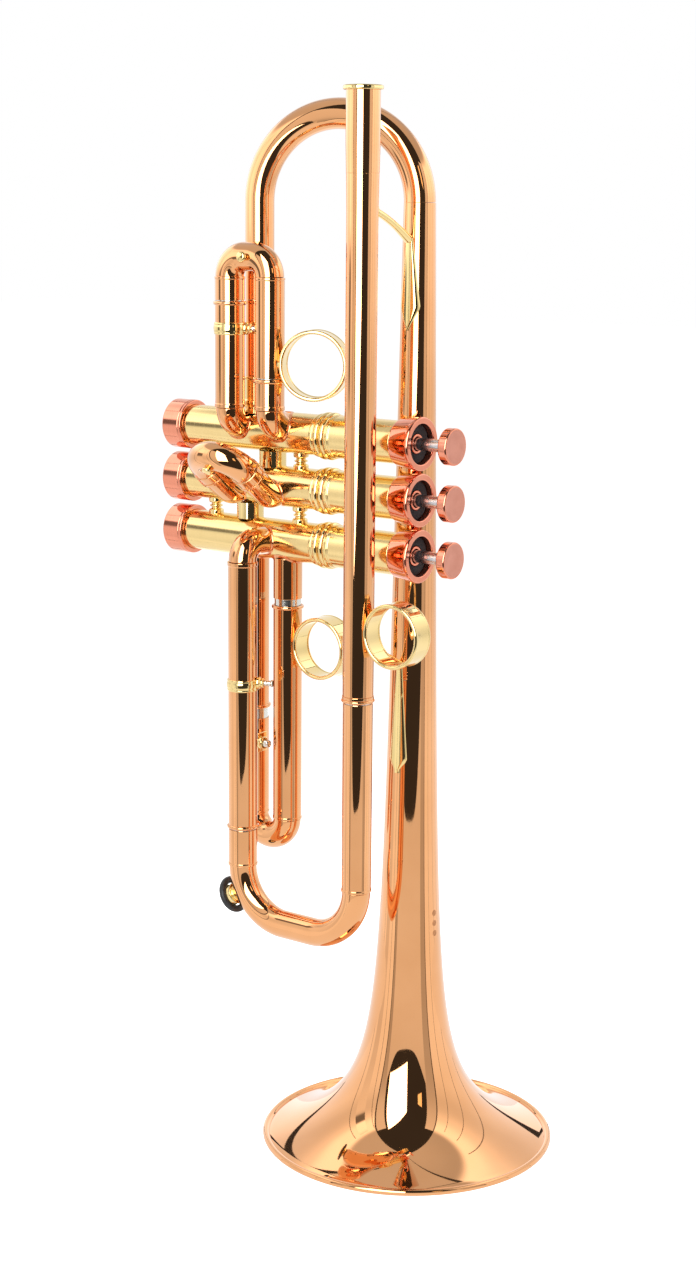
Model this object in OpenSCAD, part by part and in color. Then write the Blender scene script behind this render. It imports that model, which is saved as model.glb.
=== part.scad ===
// Three-valve trumpet standing on its bell.
// Millimetres. +Z runs up the bell axis from the centre of the bell rim plane,
// +X is the side the valve buttons point to, -Y is the side the leadpipe lies on.

/* [Bell] */
// Radius of the bell at its rim
bell_rim_r = 68.4; // [58:0.1:72]
// Length from the rim plane to the start of the crook
bell_len = 434; // [400:1:460]
// Radius of the bell tube where it meets the crook
bell_tail_r = 7.0; // [6:0.1:8]
// How fast the tail widens, mm of radius per mm
bell_cone = 0.0157; // [0:0.0001:0.03]
// Length scale of the flare
flare_len = 44; // [20:1:80]
// Power of the flare
flare_pow = 2.62; // [1:0.01:4]
// Sheet thickness of the bell
bell_wall = 0.6; // [0.4:0.05:1.2]
// Radius of the rolled bead on the rim
bead_r = 1.6; // [1:0.1:2.5]

/* [Tubes] */
// Bore radius of the plain tubes
bore_r = 5.84; // [5.5:0.01:6]
// Outside radius of the inner slide tubes
inner_r = 6.18; // [6:0.01:6.4]
// Gap between an inner slide tube and its sleeve
slide_gap = 0.04; // [0.01:0.01:0.1]
// Outside radius of the slide sleeves
sleeve_r = 6.71; // [6.5:0.01:7]
// Outside radius of the bows
bow_r = 6.4; // [6.2:0.01:6.7]
// Outside radius of the end rings
ring_r = 7.5; // [7:0.1:8]

/* [Leadpipe side] */
// Distance of the leadpipe plane from the bell axis
lead_y = 42.1; // [38:0.1:46]
// Top of the mouthpiece receiver
lead_top = 482.1; // [470:0.1:495]
// Bore radius of the mouthpiece receiver
receiver_bore_r = 5.45; // [5:0.01:6]
// Height of the ring that ends the leadpipe sleeve
lead_ring_z = 219.7; // [200:0.1:240]
// Height of the ring on the lower leg
lower_ring_z = 150; // [140:0.1:160]
// Height where the tuning bow starts
tuning_z = 131.3; // [120:0.1:140]
// X of the lower leg
lower_x = -65.7; // [-70:0.1:-60]

/* [Valves] */
// Distance of the valve plane from the bell axis
valve_y = 19.6; // [18:0.1:24]
// Height of the middle valve
valve_z = 306.57; // [290:0.01:320]
// Distance between neighbouring valves
valve_pitch = 24.72; // [22:0.01:28]
// Outside radius of a casing
casing_r = 9.29; // [9:0.01:10]
// Radius of a piston
piston_r = 8.38; // [8:0.01:8.8]
// Valve travel
valve_travel = 15; // [12:0.1:17]
// X of the button faces
button_x = 34.46; // [30:0.01:40]

/* [First slide] */
// X of the left and right tubes
first_xl = -79.65; // [-84:0.01:-76]
first_xr = -56.6; // [-60:0.01:-52]
// Distance of the first slide plane from the bell axis
first_y = 33.9; // [32:0.1:38]
// Height where the first bow starts
first_z = 401; // [390:0.1:410]

/* [Second slide] */
// X of the left and right legs
second_xl = -82.1; // [-85:0.1:-78]
second_xr = -60.0; // [-63:0.1:-56]
// Upward tilt of the second slide
second_tilt = 36; // [20:1:50]

/* [Third slide] */
// X of the left and right tubes
third_xl = -76.6; // [-80:0.1:-72]
third_xr = -57.2; // [-60:0.1:-52]
// Height where the third bow starts
third_z = 150; // [140:0.1:160]

/* [Hidden] */
$fn = 72;
e = 0.02;
outer_ri = inner_r + slide_gap;
lead_x = -0.2;
yv = -valve_y;
yl = -lead_y;
yf = -first_y;
zv = [valve_z + valve_pitch, valve_z, valve_z - valve_pitch];
crook_x = -73.75;
crook_w = sqrt(crook_x * crook_x + yv * yv);
crook_a = atan2(yv, crook_x);
crook_R = crook_w / 2;
tuning_R = 24.5;
first_R = 8.9;
second_w = second_xr - second_xl;
third_w = third_xr - third_xl;
// second slide joint on the leg axis
s_jy = -42.87;
s_jz = 312.6;
second_s0 = 14.4;
second_ye = s_jy + second_s0 * cos(second_tilt);
second_ze = s_jz - second_s0 * sin(second_tilt);
bell_split = 0.35;
clamp_turn = 25;
third_key_z = 186;
casing_x0 = -121.9;
casing_x1 = 9.0;
piston_x0 = -104;
barrel_x0 = -34;
barrel_x1 = -4.4;

copper = [0.85, 0.48, 0.32];
brass = [0.86, 0.72, 0.36];
nickel = [0.78, 0.78, 0.76];
felt = [0.08, 0.07, 0.08];
rubber = [0.05, 0.05, 0.05];

function bell_r(z) = bell_tail_r + bell_cone * (bell_len - z)
  + (bell_rim_r - 1.0 - bell_tail_r - bell_cone * bell_len)
  * pow(flare_len / (z - bead_r + flare_len), flare_pow);

// ---- helpers ----

module pipe(h, ro, ri) {
  difference() {
    cylinder(h = h, r = ro);
    translate([0, 0, -1])
      cylinder(h = h + 2, r = ri);
  }
}

// Quarter or other part of a ring-shaped tube in the XY plane, from +X towards +Y.
module bend(R, ro, ri, a) {
  rotate_extrude(angle = a)
    translate([R, 0])
      difference() {
        circle(r = ro);
        circle(r = ri);
      }
}

// U in the XZ plane: legs at x = 0 and x = w end at z = 0, the bow hangs below.
module u_bow(w, R, ro, ri) {
  translate([w - R, 0, 0])
    rotate([90, 0, 0])
      rotate([0, 0, -90])
        bend(R, ro, ri, 90);
  translate([R, 0, 0])
    rotate([90, 0, 0])
      rotate([0, 0, 180])
        bend(R, ro, ri, 90);
  if (w - 2 * R > 0.02)
    translate([R, 0, -R])
      rotate([0, 90, 0])
        pipe(w - 2 * R, ro, ri);
}

// Round rod between two points.
module rod(a, b, r) {
  d = b - a;
  L = norm(d);
  translate(a)
    rotate([0, acos(d[2] / L), atan2(d[1], d[0])])
      cylinder(h = L, r = r);
}

// Cylinder along X.
module xcyl(x0, x1, r, z) {
  translate([x0, yv, z])
    rotate([0, 90, 0])
      cylinder(h = x1 - x0, r = r);
}

// Rolled-edge band ring with its axis along Y, centred on the origin.
module finger_band(ro, ri, w) {
  rotate([90, 0, 0])
    rotate_extrude()
      union() {
        translate([ri, -w / 2])
          square([ro - ri, w]);
        translate([(ro + ri) / 2, w / 2])
          circle(r = 0.95);
        translate([(ro + ri) / 2, -w / 2])
          circle(r = 0.95);
      }
}

// ---- bell ----

// Outline points of the bell wall between two parameters, from the rim end upwards.
function wall_pts(t0, t1, n, inset) = [
  for (i = [0 : n])
    let (t = t0 + (t1 - t0) * i / n, z = bead_r + (bell_len - bead_r) * t * t * (1.6 - 0.6 * t))
      [bell_r(z) - inset * (t == 0 ? 1.2 : 1), z]
];

function turned(v) = [for (i = [len(v) - 1 : -1 : 0]) v[i]];

module bell_flare() {
  outer = wall_pts(0, bell_split, 26, 0);
  inner = wall_pts(0, bell_split, 26, bell_wall);
  color(copper)
    rotate_extrude()
      difference() {
        union() {
          polygon(concat(outer, turned(inner)));
          translate([bell_rim_r - bead_r, bead_r])
            circle(r = bead_r);
        }
        translate([bell_rim_r - bead_r, bead_r])
          circle(r = 1.0);
      }
}

module bell_stem() {
  outer = wall_pts(bell_split, 1, 18, 0);
  inner = wall_pts(bell_split, 1, 18, bell_wall);
  color(copper)
    rotate_extrude()
      polygon(concat(outer, turned(inner)));
}

module bell_rim_wire() {
  color(brass)
    rotate_extrude()
      translate([bell_rim_r - bead_r, bead_r])
        circle(r = 0.97);
}

module bell_crook() {
  steps = 8;
  color(copper)
    union() {
      translate([0, 0, bell_len])
        rotate([0, 0, crook_a])
          translate([crook_R, 0, 0])
            rotate([90, 0, 0])
              for (i = [0 : steps - 1])
                rotate([0, 0, 180 - (i + 1) * 180 / steps])
                  bend(crook_R, 7.1 - 0.06 * i, 6.45 - 0.06 * i, 180 / steps);
      translate([crook_x, yv, 355.9])
        pipe(bell_len - 355.9, 6.6, 5.95);
    }
}

module crook_ferrule() {
  color(brass)
    difference() {
      translate([crook_x, yv, 339])
        union() {
          pipe(16.9, 7.0, bore_r);
          translate([0, 0, 4.6])
            pipe(1.6, 7.35, bore_r);
        }
      xcyl(-95, -50, casing_r, zv[0]);
    }
}

// ---- leadpipe side ----

module leadpipe() {
  z0 = lead_ring_z + 1.4;
  color(copper)
    translate([lead_x, yl, 0])
      rotate_extrude()
        polygon([
          [inner_r + e, z0], [6.87, z0], [6.87, 430], [7.1, 446],
          [4.8, 446], [5.6, 330], [bore_r, 240.3], [inner_r + e, 240.2]
        ]);
}

module mouthpiece_receiver() {
  color(copper)
    translate([lead_x, yl, 0])
      rotate_extrude()
        polygon([
          [4.8, 446], [7.1, 446], [7.35, 458], [7.35, 480.1], [6.6, 480.1], [6.6, lead_top - 0.3],
          [6.3, lead_top], [6.0, lead_top], [receiver_bore_r, 481.2], [receiver_bore_r, 456], [4.8, 452]
        ]);
}

module receiver_rim() {
  color(brass)
    translate([lead_x, yl, 0])
      rotate_extrude()
        polygon([
          [6.6, 480.1], [8.3, 480.1], [8.6, 480.5], [8.6, 481.6], [8.2, lead_top], [6.6, lead_top - 0.3]
        ]);
}

module leadpipe_slide_tube() {
  color(nickel)
    translate([lead_x, yl, 137])
      pipe(103, inner_r, bore_r);
}

module lower_slide_sleeve() {
  color(copper)
    union() {
      translate([lower_x, yl, lower_ring_z])
        pipe(273.85 - lower_ring_z, sleeve_r, outer_ri);
      translate([lower_x, yl, 272.25])
        pipe(1.6, 6.95, outer_ri);
    }
}

module lower_elbow() {
  R = zv[2] - 273.85;
  color(copper)
    difference() {
      union() {
        translate([lower_x, yl + R, 273.85])
          rotate([90, 0, -90])
            bend(R, 6.35, bore_r, 90);
        translate([lower_x, yl + R, zv[2]])
          rotate([-90, 0, 0])
            pipe(8, 6.35, bore_r);
      }
      xcyl(-85, -45, casing_r, zv[2]);
    }
}

module fixed_end_rings() {
  color(copper)
    union() {
      translate([lead_x, yl, lead_ring_z - 1.4])
        pipe(2.8, ring_r, 6.3);
      translate([lower_x, yl, lower_ring_z - 1])
        pipe(1, ring_r, 6.3);
      translate([lower_x, yl, lower_ring_z])
        pipe(1, ring_r, sleeve_r);
      translate([first_xl, yf, 388.3])
        pipe(1.8, ring_r, sleeve_r);
      translate([first_xr, yf, 354.6])
        pipe(1.8, ring_r, sleeve_r);
      translate([third_xl, yv, 201])
        pipe(1.8, ring_r, sleeve_r);
    }
}

// Clamp ring round a tube, with a turned boss for a screw on one side.
module clamp_ring(rise) {
  difference() {
    union() {
      cylinder(h = 5.4, r = 7.4);
      translate([0, 0, 2.7 + rise])
        rotate([0, 0, clamp_turn])
          rotate([0, 90, 0])
            rotate_extrude()
              polygon([[0, 5.5], [2.9, 5.5], [2.9, 8.2], [2.3, 8.8], [2.3, 9.6], [1.9, 10], [0, 10]]);
    }
    translate([0, 0, -4])
      cylinder(h = 14, r = sleeve_r);
    translate([0, 0, 2.7 + rise])
      rotate([0, 0, clamp_turn])
        rotate([0, 90, 0])
          cylinder(h = 14, r = 1.02);
  }
}

module clamp_screw(rise) {
  translate([0, 0, 2.7 + rise])
    rotate([0, 0, clamp_turn])
      rotate([0, 90, 0])
        translate([0, 0, 7.4])
          union() {
            cylinder(h = 3.0, r = 1.0);
            translate([0, 0, 2.6])
              cylinder(h = 3.4, r = 1.3);
            translate([0, 0, 6.0])
              cylinder(h = 0.8, r = 1.75);
          }
}

module leg_clamp_band() {
  color(brass)
    translate([lower_x, yl, 214.4])
      clamp_ring(0.9);
}

module clamp_screws() {
  color(nickel)
    union() {
      translate([lower_x, yl, 214.4])
        clamp_screw(0.9);
      translate([first_xl, yf, 375.2])
        clamp_screw(0);
    }
}

// ---- valve section ----

module casing(n) {
  difference() {
    union() {
      xcyl(casing_x0, casing_x1, casing_r, zv[n]);
      xcyl(-27.5, 6.1, 9.6, zv[n]);
    }
    xcyl(casing_x0 - 1, casing_x1 + 1, piston_r + 0.04, zv[n]);
    casing_ports(n);
  }
}

module port(x, z, a) {
  translate([x, yv, z])
    rotate([a, 0, 0])
      cylinder(h = 14, r = bore_r);
}

// Angle 90 points the hole to -Y, 0 to +Z, 180 to -Z.
module casing_ports(n) {
  if (n == 0) {
    port(crook_x, zv[0], 0);
    port(first_xl, zv[0] + 3.2, 90);
    port(first_xr, zv[0] + 3.2, 90);
    port(-66.2, zv[0], 180);
  }
  if (n == 1) {
    port(-66.2, zv[1], 0);
    port(second_xl, second_ze, 90);
    port(second_xr, second_ze, 90);
    port(-79.4, zv[1], 180);
  }
  if (n == 2) {
    port(-79.4, zv[2], 0);
    port(lower_x, zv[2], 90);
    port(third_xl, zv[2], 180);
    port(third_xr, zv[2], 180);
  }
}

module valve_casing_1() {
  color(brass)
    casing(0);
}

module valve_casing_2() {
  color(brass)
    casing(1);
}

module valve_casing_3() {
  color(brass)
    casing(2);
}

module casing_bead_rings() {
  color(brass)
    for (z = zv)
      translate([0, yv, z])
        rotate([0, 90, 0])
          rotate_extrude()
            difference() {
              union() {
                translate([casing_r + e, -34.6])
                  circle(r = 1.35);
                translate([casing_r + e, -31.4])
                  circle(r = 1.35);
                translate([casing_r, -38.2])
                  square([0.45, 2.4]);
                translate([casing_r, -30.2])
                  square([0.45, 2.6]);
              }
              translate([0, -45])
                square([casing_r, 30]);
            }
}

// Turned post between two casings, cut to their round sides.
module post(x, zlo) {
  difference() {
    translate([x, yv, zlo + casing_r - 1.2])
      rotate_extrude()
        polygon([
          [0, 0], [3.3, 0], [3.3, 2.2], [2.4, 2.7], [2.0, 3.4], [2.7, 4.0],
          [2.7, 4.6], [2.0, 5.2], [2.4, 5.9], [3.3, 6.4], [3.3, 8.6], [0, 8.6]
        ]);
    xcyl(x - 6, x + 6, casing_r, zlo);
    xcyl(x - 6, x + 6, casing_r, zlo + valve_pitch);
  }
}

module casing_posts() {
  color(brass)
    union() {
      post(-49.8, zv[1]);
      post(-99.9, zv[1]);
      post(-50.3, zv[2]);
      post(-99.9, zv[2]);
    }
}

module knuckle(x, zlo) {
  difference() {
    translate([x, yv, zlo + 4])
      pipe(valve_pitch - 8, 6.3, bore_r);
    xcyl(x - 9, x + 9, casing_r, zlo);
    xcyl(x - 9, x + 9, casing_r, zlo + valve_pitch);
  }
}

module casing_knuckles() {
  color(brass)
    union() {
      knuckle(-66.2, zv[1]);
      knuckle(-79.4, zv[2]);
    }
}

module top_caps() {
  color(copper)
    for (z = zv)
      translate([0, yv, z])
        rotate([0, 90, 0])
          rotate_extrude()
            polygon([
              [9.62, 5.4], [10.1, 5.4], [10.35, 5.9], [11.85, 15.8], [11.85, 16.4], [11.4, 16.9],
              [9.2, 16.9], [8.85, 16.5], [8.85, 10.4], [4.4, 10.4],
              [4.4, 14.4], [3.2, 14.4], [3.2, 9.05], [casing_r + e, 9.05], [casing_r + e, 6.15], [9.62, 6.15]
            ]);
}

module bottom_caps() {
  color(copper)
    for (z = zv)
      translate([0, yv, z])
        rotate([0, 90, 0])
          rotate_extrude()
            polygon([
              [1.4, -123.2], [6.4, -123.2], [6.9, -123.7], [10.95, -123.7], [11.45, -123.2], [11.45, -112.9],
              [10.95, -112.4], [casing_r + e, -112.4], [casing_r + e, -121.95], [1.4, -121.95]
            ]);
}

module cap_felts() {
  color(felt)
    for (z = zv)
      translate([10.43, yv, z])
        rotate([0, 90, 0])
          pipe(3.5, 8.8, 4.45);
}

module valve_guides() {
  color(brass)
    for (z = zv)
      translate([0, yv, z])
        union() {
          difference() {
            intersection() {
              translate([-31.5, -9, -1.5])
                cube([3, 18, 3]);
              translate([-33, 0, 0])
                rotate([0, 90, 0])
                  cylinder(h = 6, r = piston_r + 0.04);
            }
            translate([-33, 0, 0])
              rotate([0, 90, 0])
                cylinder(h = 6, r = 1.2);
          }
        }
}

// ---- fixed slide parts ----

module first_elbow(x) {
  R = 8;
  z0 = zv[0] + 3.2 + R;
  difference() {
    union() {
      translate([x, yf + R, z0])
        rotate([90, 0, -90])
          rotate([0, 0, -90])
            bend(R, 6.35, bore_r, 90);
      translate([x, yf + R, zv[0] + 3.2])
        rotate([-90, 0, 0])
          pipe(4, 6.35, bore_r);
    }
    xcyl(x - 12, x + 12, casing_r, zv[0]);
    translate([crook_x, yv, 330])
      cylinder(h = 20, r = 7.04);
  }
}

module first_elbows() {
  color(copper)
    union() {
      first_elbow(first_xl);
      first_elbow(first_xr);
    }
}

module first_fixed_tubes() {
  z0 = zv[0] + 11.2;
  color(copper)
    union() {
      translate([first_xl, yf, z0])
        pipe(388.3 + 1.8 - z0, sleeve_r, outer_ri);
      translate([first_xr, yf, z0])
        pipe(354.6 + 1.8 - z0, sleeve_r, inner_r - 0.01);
      translate([first_xr, yf, z0])
        pipe(398 - z0, inner_r, bore_r);
    }
}

module first_clamp() {
  color(brass)
    translate([first_xl, yf, 375.2])
      clamp_ring(0);
}

module second_frame(x) {
  translate([x, s_jy, s_jz])
    rotate([90 - second_tilt, 0, 0])
      children();
}

// Leg of the second slide: straight from the joint down to a ball elbow on the casing.
module second_leg(x) {
  difference() {
    union() {
      second_frame(x)
        translate([0, 0, -second_s0])
          cylinder(h = second_s0 + 6, r = 6.2);
      translate([x, second_ye, second_ze])
        sphere(r = 6.6);
    }
    second_frame(x)
      translate([0, 0, -second_s0])
        cylinder(h = second_s0 + 8, r = 5.9);
    translate([x, second_ye, second_ze])
      rotate([-90, 0, 0])
        cylinder(h = 20, r = 5.84);
    xcyl(x - 12, x + 12, casing_r, zv[1]);
  }
}

module second_legs() {
  color(copper)
    union() {
      second_leg(second_xl);
      second_leg(second_xr);
    }
}

module third_fixed_tubes() {
  top = 275;
  color(copper)
    difference() {
      union() {
        translate([third_xl, yv, 201])
          pipe(top - 201, sleeve_r, outer_ri);
        translate([third_xr, yv, 255.1])
          pipe(top - 255.1, sleeve_r, inner_r + e);
      }
      xcyl(-90, -45, casing_r, zv[2]);
    }
}

module third_inner_tube() {
  color(nickel)
    translate([third_xr, yv, 153])
      pipe(115, inner_r, bore_r);
}

// ---- braces and rings ----

// Kite-shaped sheet wrapped on the front of the bell tail.
module saddle(z0, pts) {
  intersection() {
    translate([0, 0, z0])
      rotate_extrude()
        polygon([
          [bell_r(z0) + 0.02, 0], [bell_r(z0) + 0.85, 0],
          [bell_r(z0 + 51) + 0.85, 51], [bell_r(z0 + 51) + 0.02, 51]
        ]);
    translate([0, 0, z0])
      rotate([90, 0, 0])
        linear_extrude(height = 20)
          polygon(pts);
  }
}

module upper_brace() {
  color(brass)
    union() {
      saddle(378, [[0.3, 1], [5.2, 11], [1.6, 41], [-1.6, 41], [-5.0, 11]]);
      difference() {
        rod([0, -8.3, 418.5], [0, -36, 431.5], 1.6);
        translate([lead_x, yl, 400])
          cylinder(h = 50, r = 6.89);
        translate([0, 0, 400])
          cylinder(h = 40, r = bell_r(418) + 0.05);
      }
      difference() {
        translate([0, -34.9, 431.2])
          rotate([90, 0, 0])
            cylinder(h = 3, r = 3.2);
        translate([lead_x, yl, 400])
          cylinder(h = 50, r = 6.89);
      }
    }
}

module lower_brace() {
  color(brass)
    union() {
      saddle(178.5, [[0, 1.2], [4.7, 7], [1.5, 50.8], [-1.5, 50.8], [-4.7, 7]]);
      difference() {
        rod([0, -10.8, 228.6], [0, -36, 241], 1.6);
        translate([lead_x, yl, 200])
          cylinder(h = 60, r = 6.89);
        translate([0, 0, 200])
          cylinder(h = 45, r = bell_r(226) + 0.35);
      }
      difference() {
        translate([0, -34.9, 240.6])
          rotate([90, 0, 0])
            cylinder(h = 3, r = 3.2);
        translate([lead_x, yl, 200])
          cylinder(h = 60, r = 6.89);
      }
    }
}

module pinky_ring() {
  color(brass)
    difference() {
      translate([20.3, yl, 250.6])
        finger_band(14, 12.9, 9.2);
      translate([lead_x, yl, 220])
        cylinder(h = 60, r = 6.89);
    }
}

// ---- valves ----

module button(n) {
  translate([0, yv, zv[n]])
    rotate([0, 90, 0])
      rotate_extrude()
        polygon([
          [2.82, 29.8], [7.7, 29.8], [8.15, 30.2], [8.15, button_x - 0.4],
          [7.75, button_x], [0, button_x - 0.25], [0, 33.2], [2.82, 33.2]
        ]);
}

module stem(n) {
  difference() {
    xcyl(barrel_x1 - 6, 33.15, 2.8, zv[n]);
    xcyl(barrel_x1 - 7, barrel_x1 + 1, 1.2, zv[n]);
  }
}

module stem_seat(n) {
  xcyl(barrel_x1 - 1.6, barrel_x1 + 1, 2.82, zv[n]);
}

module piston_body(n) {
  x0 = n == 0 ? first_xl : (n == 1 ? second_xl : third_xl);
  x1 = n == 0 ? first_xr : (n == 1 ? second_xr : third_xr);
  difference() {
    xcyl(piston_x0, barrel_x1, piston_r, zv[n]);
    // spring barrel
    xcyl(barrel_x0, barrel_x1 - 1.6, 6.9, zv[n]);
    stem_seat(n);
    // slots for the guide
    translate([-32, yv - 10, zv[n] - 1.8])
      cube([20, 20, 3.6]);
    // ports
    piston_ports(n, x0 + valve_travel, x1 + valve_travel);
    // hollow foot
    xcyl(piston_x0 - 1, piston_x0 + 8, 7.2, zv[n]);
  }
}

module blind(x, z, a) {
  translate([x, yv, z])
    rotate([a, 0, 0])
      cylinder(h = 14, r = 5.4);
}

module piston_ports(n, sa, sb) {
  if (n == 0) {
    blind(crook_x, zv[0], 0);
    blind(-66.2, zv[0], 180);
    blind(sb, zv[0], 90);
  }
  if (n == 1) {
    blind(-66.2, zv[1], 0);
    blind(-79.4, zv[1], 180);
    blind(sb, zv[1], 90);
  }
  if (n == 2) {
    blind(-79.4, zv[2], 0);
    blind(lower_x, zv[2], 90);
    blind(sb, zv[2], 180);
  }
  xcyl(-79.4, sb, 4.6, zv[n]);
}

// Coil between the guide and the closed end of the barrel.
module coil(n) {
  r = 5.2;
  w = 0.5;
  x0 = -28.0;
  x1 = -6.6;
  turns = 6;
  m = 84;
  k = 6;
  pts = [for (i = [0 : m]) let (a = 360 * turns * i / m, x = x0 + (x1 - x0) * i / m)
    for (j = [0 : k - 1]) let (b = 360 * j / k)
      [x + w * sin(b), yv + (r + w * cos(b)) * cos(a), zv[n] + (r + w * cos(b)) * sin(a)]];
  sides = [for (i = [0 : m - 1]) for (j = [0 : k - 1])
    [i * k + j, i * k + (j + 1) % k, (i + 1) * k + (j + 1) % k, (i + 1) * k + j]];
  ends = [[for (j = [k - 1 : -1 : 0]) j], [for (j = [0 : k - 1]) m * k + j]];
  polyhedron(points = pts, faces = concat(sides, ends), convexity = 8);
}

module valve_button_1() {
  color(copper)
    button(0);
}

module valve_button_2() {
  color(copper)
    button(1);
}

module valve_button_3() {
  color(copper)
    button(2);
}

module valve_stem_1() {
  color(nickel)
    stem(0);
}

module valve_stem_2() {
  color(nickel)
    stem(1);
}

module valve_stem_3() {
  color(nickel)
    stem(2);
}

module piston_1() {
  color(nickel)
    piston_body(0);
}

module piston_2() {
  color(nickel)
    piston_body(1);
}

module piston_3() {
  color(nickel)
    piston_body(2);
}

module valve_spring_1() {
  color(nickel)
    coil(0);
}

module valve_spring_2() {
  color(nickel)
    coil(1);
}

module valve_spring_3() {
  color(nickel)
    coil(2);
}

// ---- tuning slide ----

module tuning_bow() {
  color(copper)
    translate([lower_x, yl, tuning_z])
      u_bow(lead_x - lower_x, tuning_R, bow_r, bore_r);
}

module tuning_sleeves() {
  color(copper)
    union() {
      translate([lead_x, yl, tuning_z])
        pipe(217.8 - tuning_z, sleeve_r, outer_ri);
      translate([lead_x, yl, tuning_z])
        pipe(1.2, 6.95, sleeve_r - e);
      translate([lower_x, yl, tuning_z])
        pipe(lower_ring_z - 1.4 - tuning_z, sleeve_r, inner_r + e);
      translate([lower_x, yl, tuning_z])
        pipe(1.2, 6.95, sleeve_r - e);
    }
}

module tuning_inner_tube() {
  color(nickel)
    translate([lower_x, yl, tuning_z])
      pipe(112, inner_r, bore_r);
}

module key_frame() {
  translate([lower_x + tuning_R, yl, tuning_z])
    rotate([0, -118, 0])
      children();
}

module water_key_seat() {
  color(brass)
    difference() {
      key_frame()
        translate([0, 0, tuning_R])
          rotate_extrude()
            polygon([[0, 5.0], [3.4, 5.0], [3.6, 6.9], [5.3, 7.0], [5.3, 7.8], [4.1, 8.6], [4.1, 10.6],
              [5.2, 11.3], [5.2, 12.2], [4.4, 12.8], [0, 12.8]]);
      translate([lower_x + tuning_R, yl, tuning_z])
        rotate([90, 0, 0])
          rotate_extrude()
            translate([tuning_R, 0])
              circle(r = bow_r);
    }
}

module water_key_ring() {
  color(rubber)
    key_frame()
      translate([0, 0, tuning_R + 9.6])
        rotate_extrude()
          translate([7.1, 0])
            circle(r = 1.65);
}

// ---- first slide ----

module first_bow() {
  color(copper)
    union() {
      translate([first_xr, yf, first_z])
        rotate([0, 180, 0])
          u_bow(first_xr - first_xl, first_R, bow_r, bore_r);
      // pull knob
      translate([-66.4, yf - 5.7, first_z + 8.9])
        rotate([90, 0, 0])
          rotate_extrude()
            polygon([[0, 0], [1.5, 0], [1.5, 1.0], [2.3, 1.5], [2.5, 2.4], [1.9, 3.4], [0, 3.8]]);
    }
}

module first_moving_tubes() {
  color(copper)
    union() {
      translate([first_xl, yf, 390.5])
        pipe(first_z - 390.5, sleeve_r, inner_r - 0.01);
      translate([first_xl, yf, 346])
        pipe(first_z - 346, inner_r, bore_r);
      translate([first_xr, yf, 356.8])
        pipe(first_z - 356.8, sleeve_r, outer_ri);
      translate([first_xl, yf, first_z - 1.0])
        pipe(1.0, 6.9, sleeve_r - 0.01);
      translate([first_xr, yf, first_z - 1.0])
        pipe(1.0, 6.9, sleeve_r - 0.01);
    }
}

module thumb_ring() {
  color(brass)
    difference() {
      union() {
        translate([-34.6, yf + 4.6, 363.2])
          rotate([0, 0, 21])
            finger_band(15.3, 14.3, 7.4);
        translate([-50.8, yf - 3.0, 360.2])
          cube([2.9, 4, 6]);
      }
      translate([first_xr, yf, 340])
        cylinder(h = 60, r = sleeve_r);
      translate([-34.6, yf + 4.6, 363.2])
        rotate([0, 0, 21])
          rotate([90, 0, 0])
            translate([0, 0, -10])
              cylinder(h = 20, r = 14.3);
    }
}

// ---- second slide ----

module second_bow() {
  color(copper)
    union() {
      second_frame(second_xr)
        translate([0, 0, 6.5])
          rotate([0, 180, 0])
            u_bow(second_w, second_w / 2, bow_r, 5.9);
      for (x = [second_xl, second_xr])
        second_frame(x)
          union() {
            pipe(6.5, 6.75, 6.24);
            pipe(1.4, 7.1, 6.24);
          }
      // pull knob
      second_frame((second_xl + second_xr) / 2 + 1.1)
        translate([0, -3.5, 17.5])
          rotate([90, 0, 0])
            rotate_extrude()
              polygon([[0, 0], [1.5, 0], [1.5, 2.9], [2.3, 3.4], [2.5, 4.3], [1.9, 5.3], [0, 5.7]]);
    }
}

module second_inner_tubes() {
  color(nickel)
    for (x = [second_xl, second_xr])
      second_frame(x)
        translate([0, 0, -12])
          pipe(18.5, 5.86, 5.5);
}

// ---- third slide ----

module third_bow() {
  color(copper)
    translate([third_xl, yv, third_z])
      u_bow(third_w, third_w / 2, bow_r, bore_r);
}

module third_moving_tubes() {
  color(copper)
    union() {
      translate([third_xr, yv, third_z])
        pipe(251.9 - third_z, sleeve_r, outer_ri);
      translate([third_xr, yv, 250.3])
        pipe(1.6, ring_r, sleeve_r - 0.01);
      translate([third_xl, yv, third_z])
        pipe(196.1 - third_z, sleeve_r, inner_r - 0.01);
      translate([third_xl, yv, third_z])
        pipe(110, inner_r, bore_r);
    }
}

module finger_ring() {
  color(brass)
    difference() {
      translate([-36.2, yv, 234.4])
        finger_band(14, 12.9, 9.2);
      translate([third_xr, yv, 200])
        cylinder(h = 60, r = sleeve_r);
    }
}

module third_key_body() {
  color(brass)
    difference() {
      union() {
        translate([-72.6, yv - 6.9, third_key_z])
          rotate([0, 90, 0])
            cylinder(h = 7.4, r = 3.1);
        translate([-74.2, yv - 9.0, third_key_z - 4.7])
          cube([6.4, 7, 9.4]);
      }
      translate([-67.4, yv - 6.9, third_key_z])
        rotate([0, 90, 0])
          cylinder(h = 9, r = 2.05);
      translate([third_xl, yv, 150])
        cylinder(h = 60, r = sleeve_r);
    }
}

module third_key_plunger() {
  color(nickel)
    translate([-65.9, yv - 6.9, third_key_z])
      rotate([0, 90, 0])
        cylinder(h = 3.4, r = 1.9);
}

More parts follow.
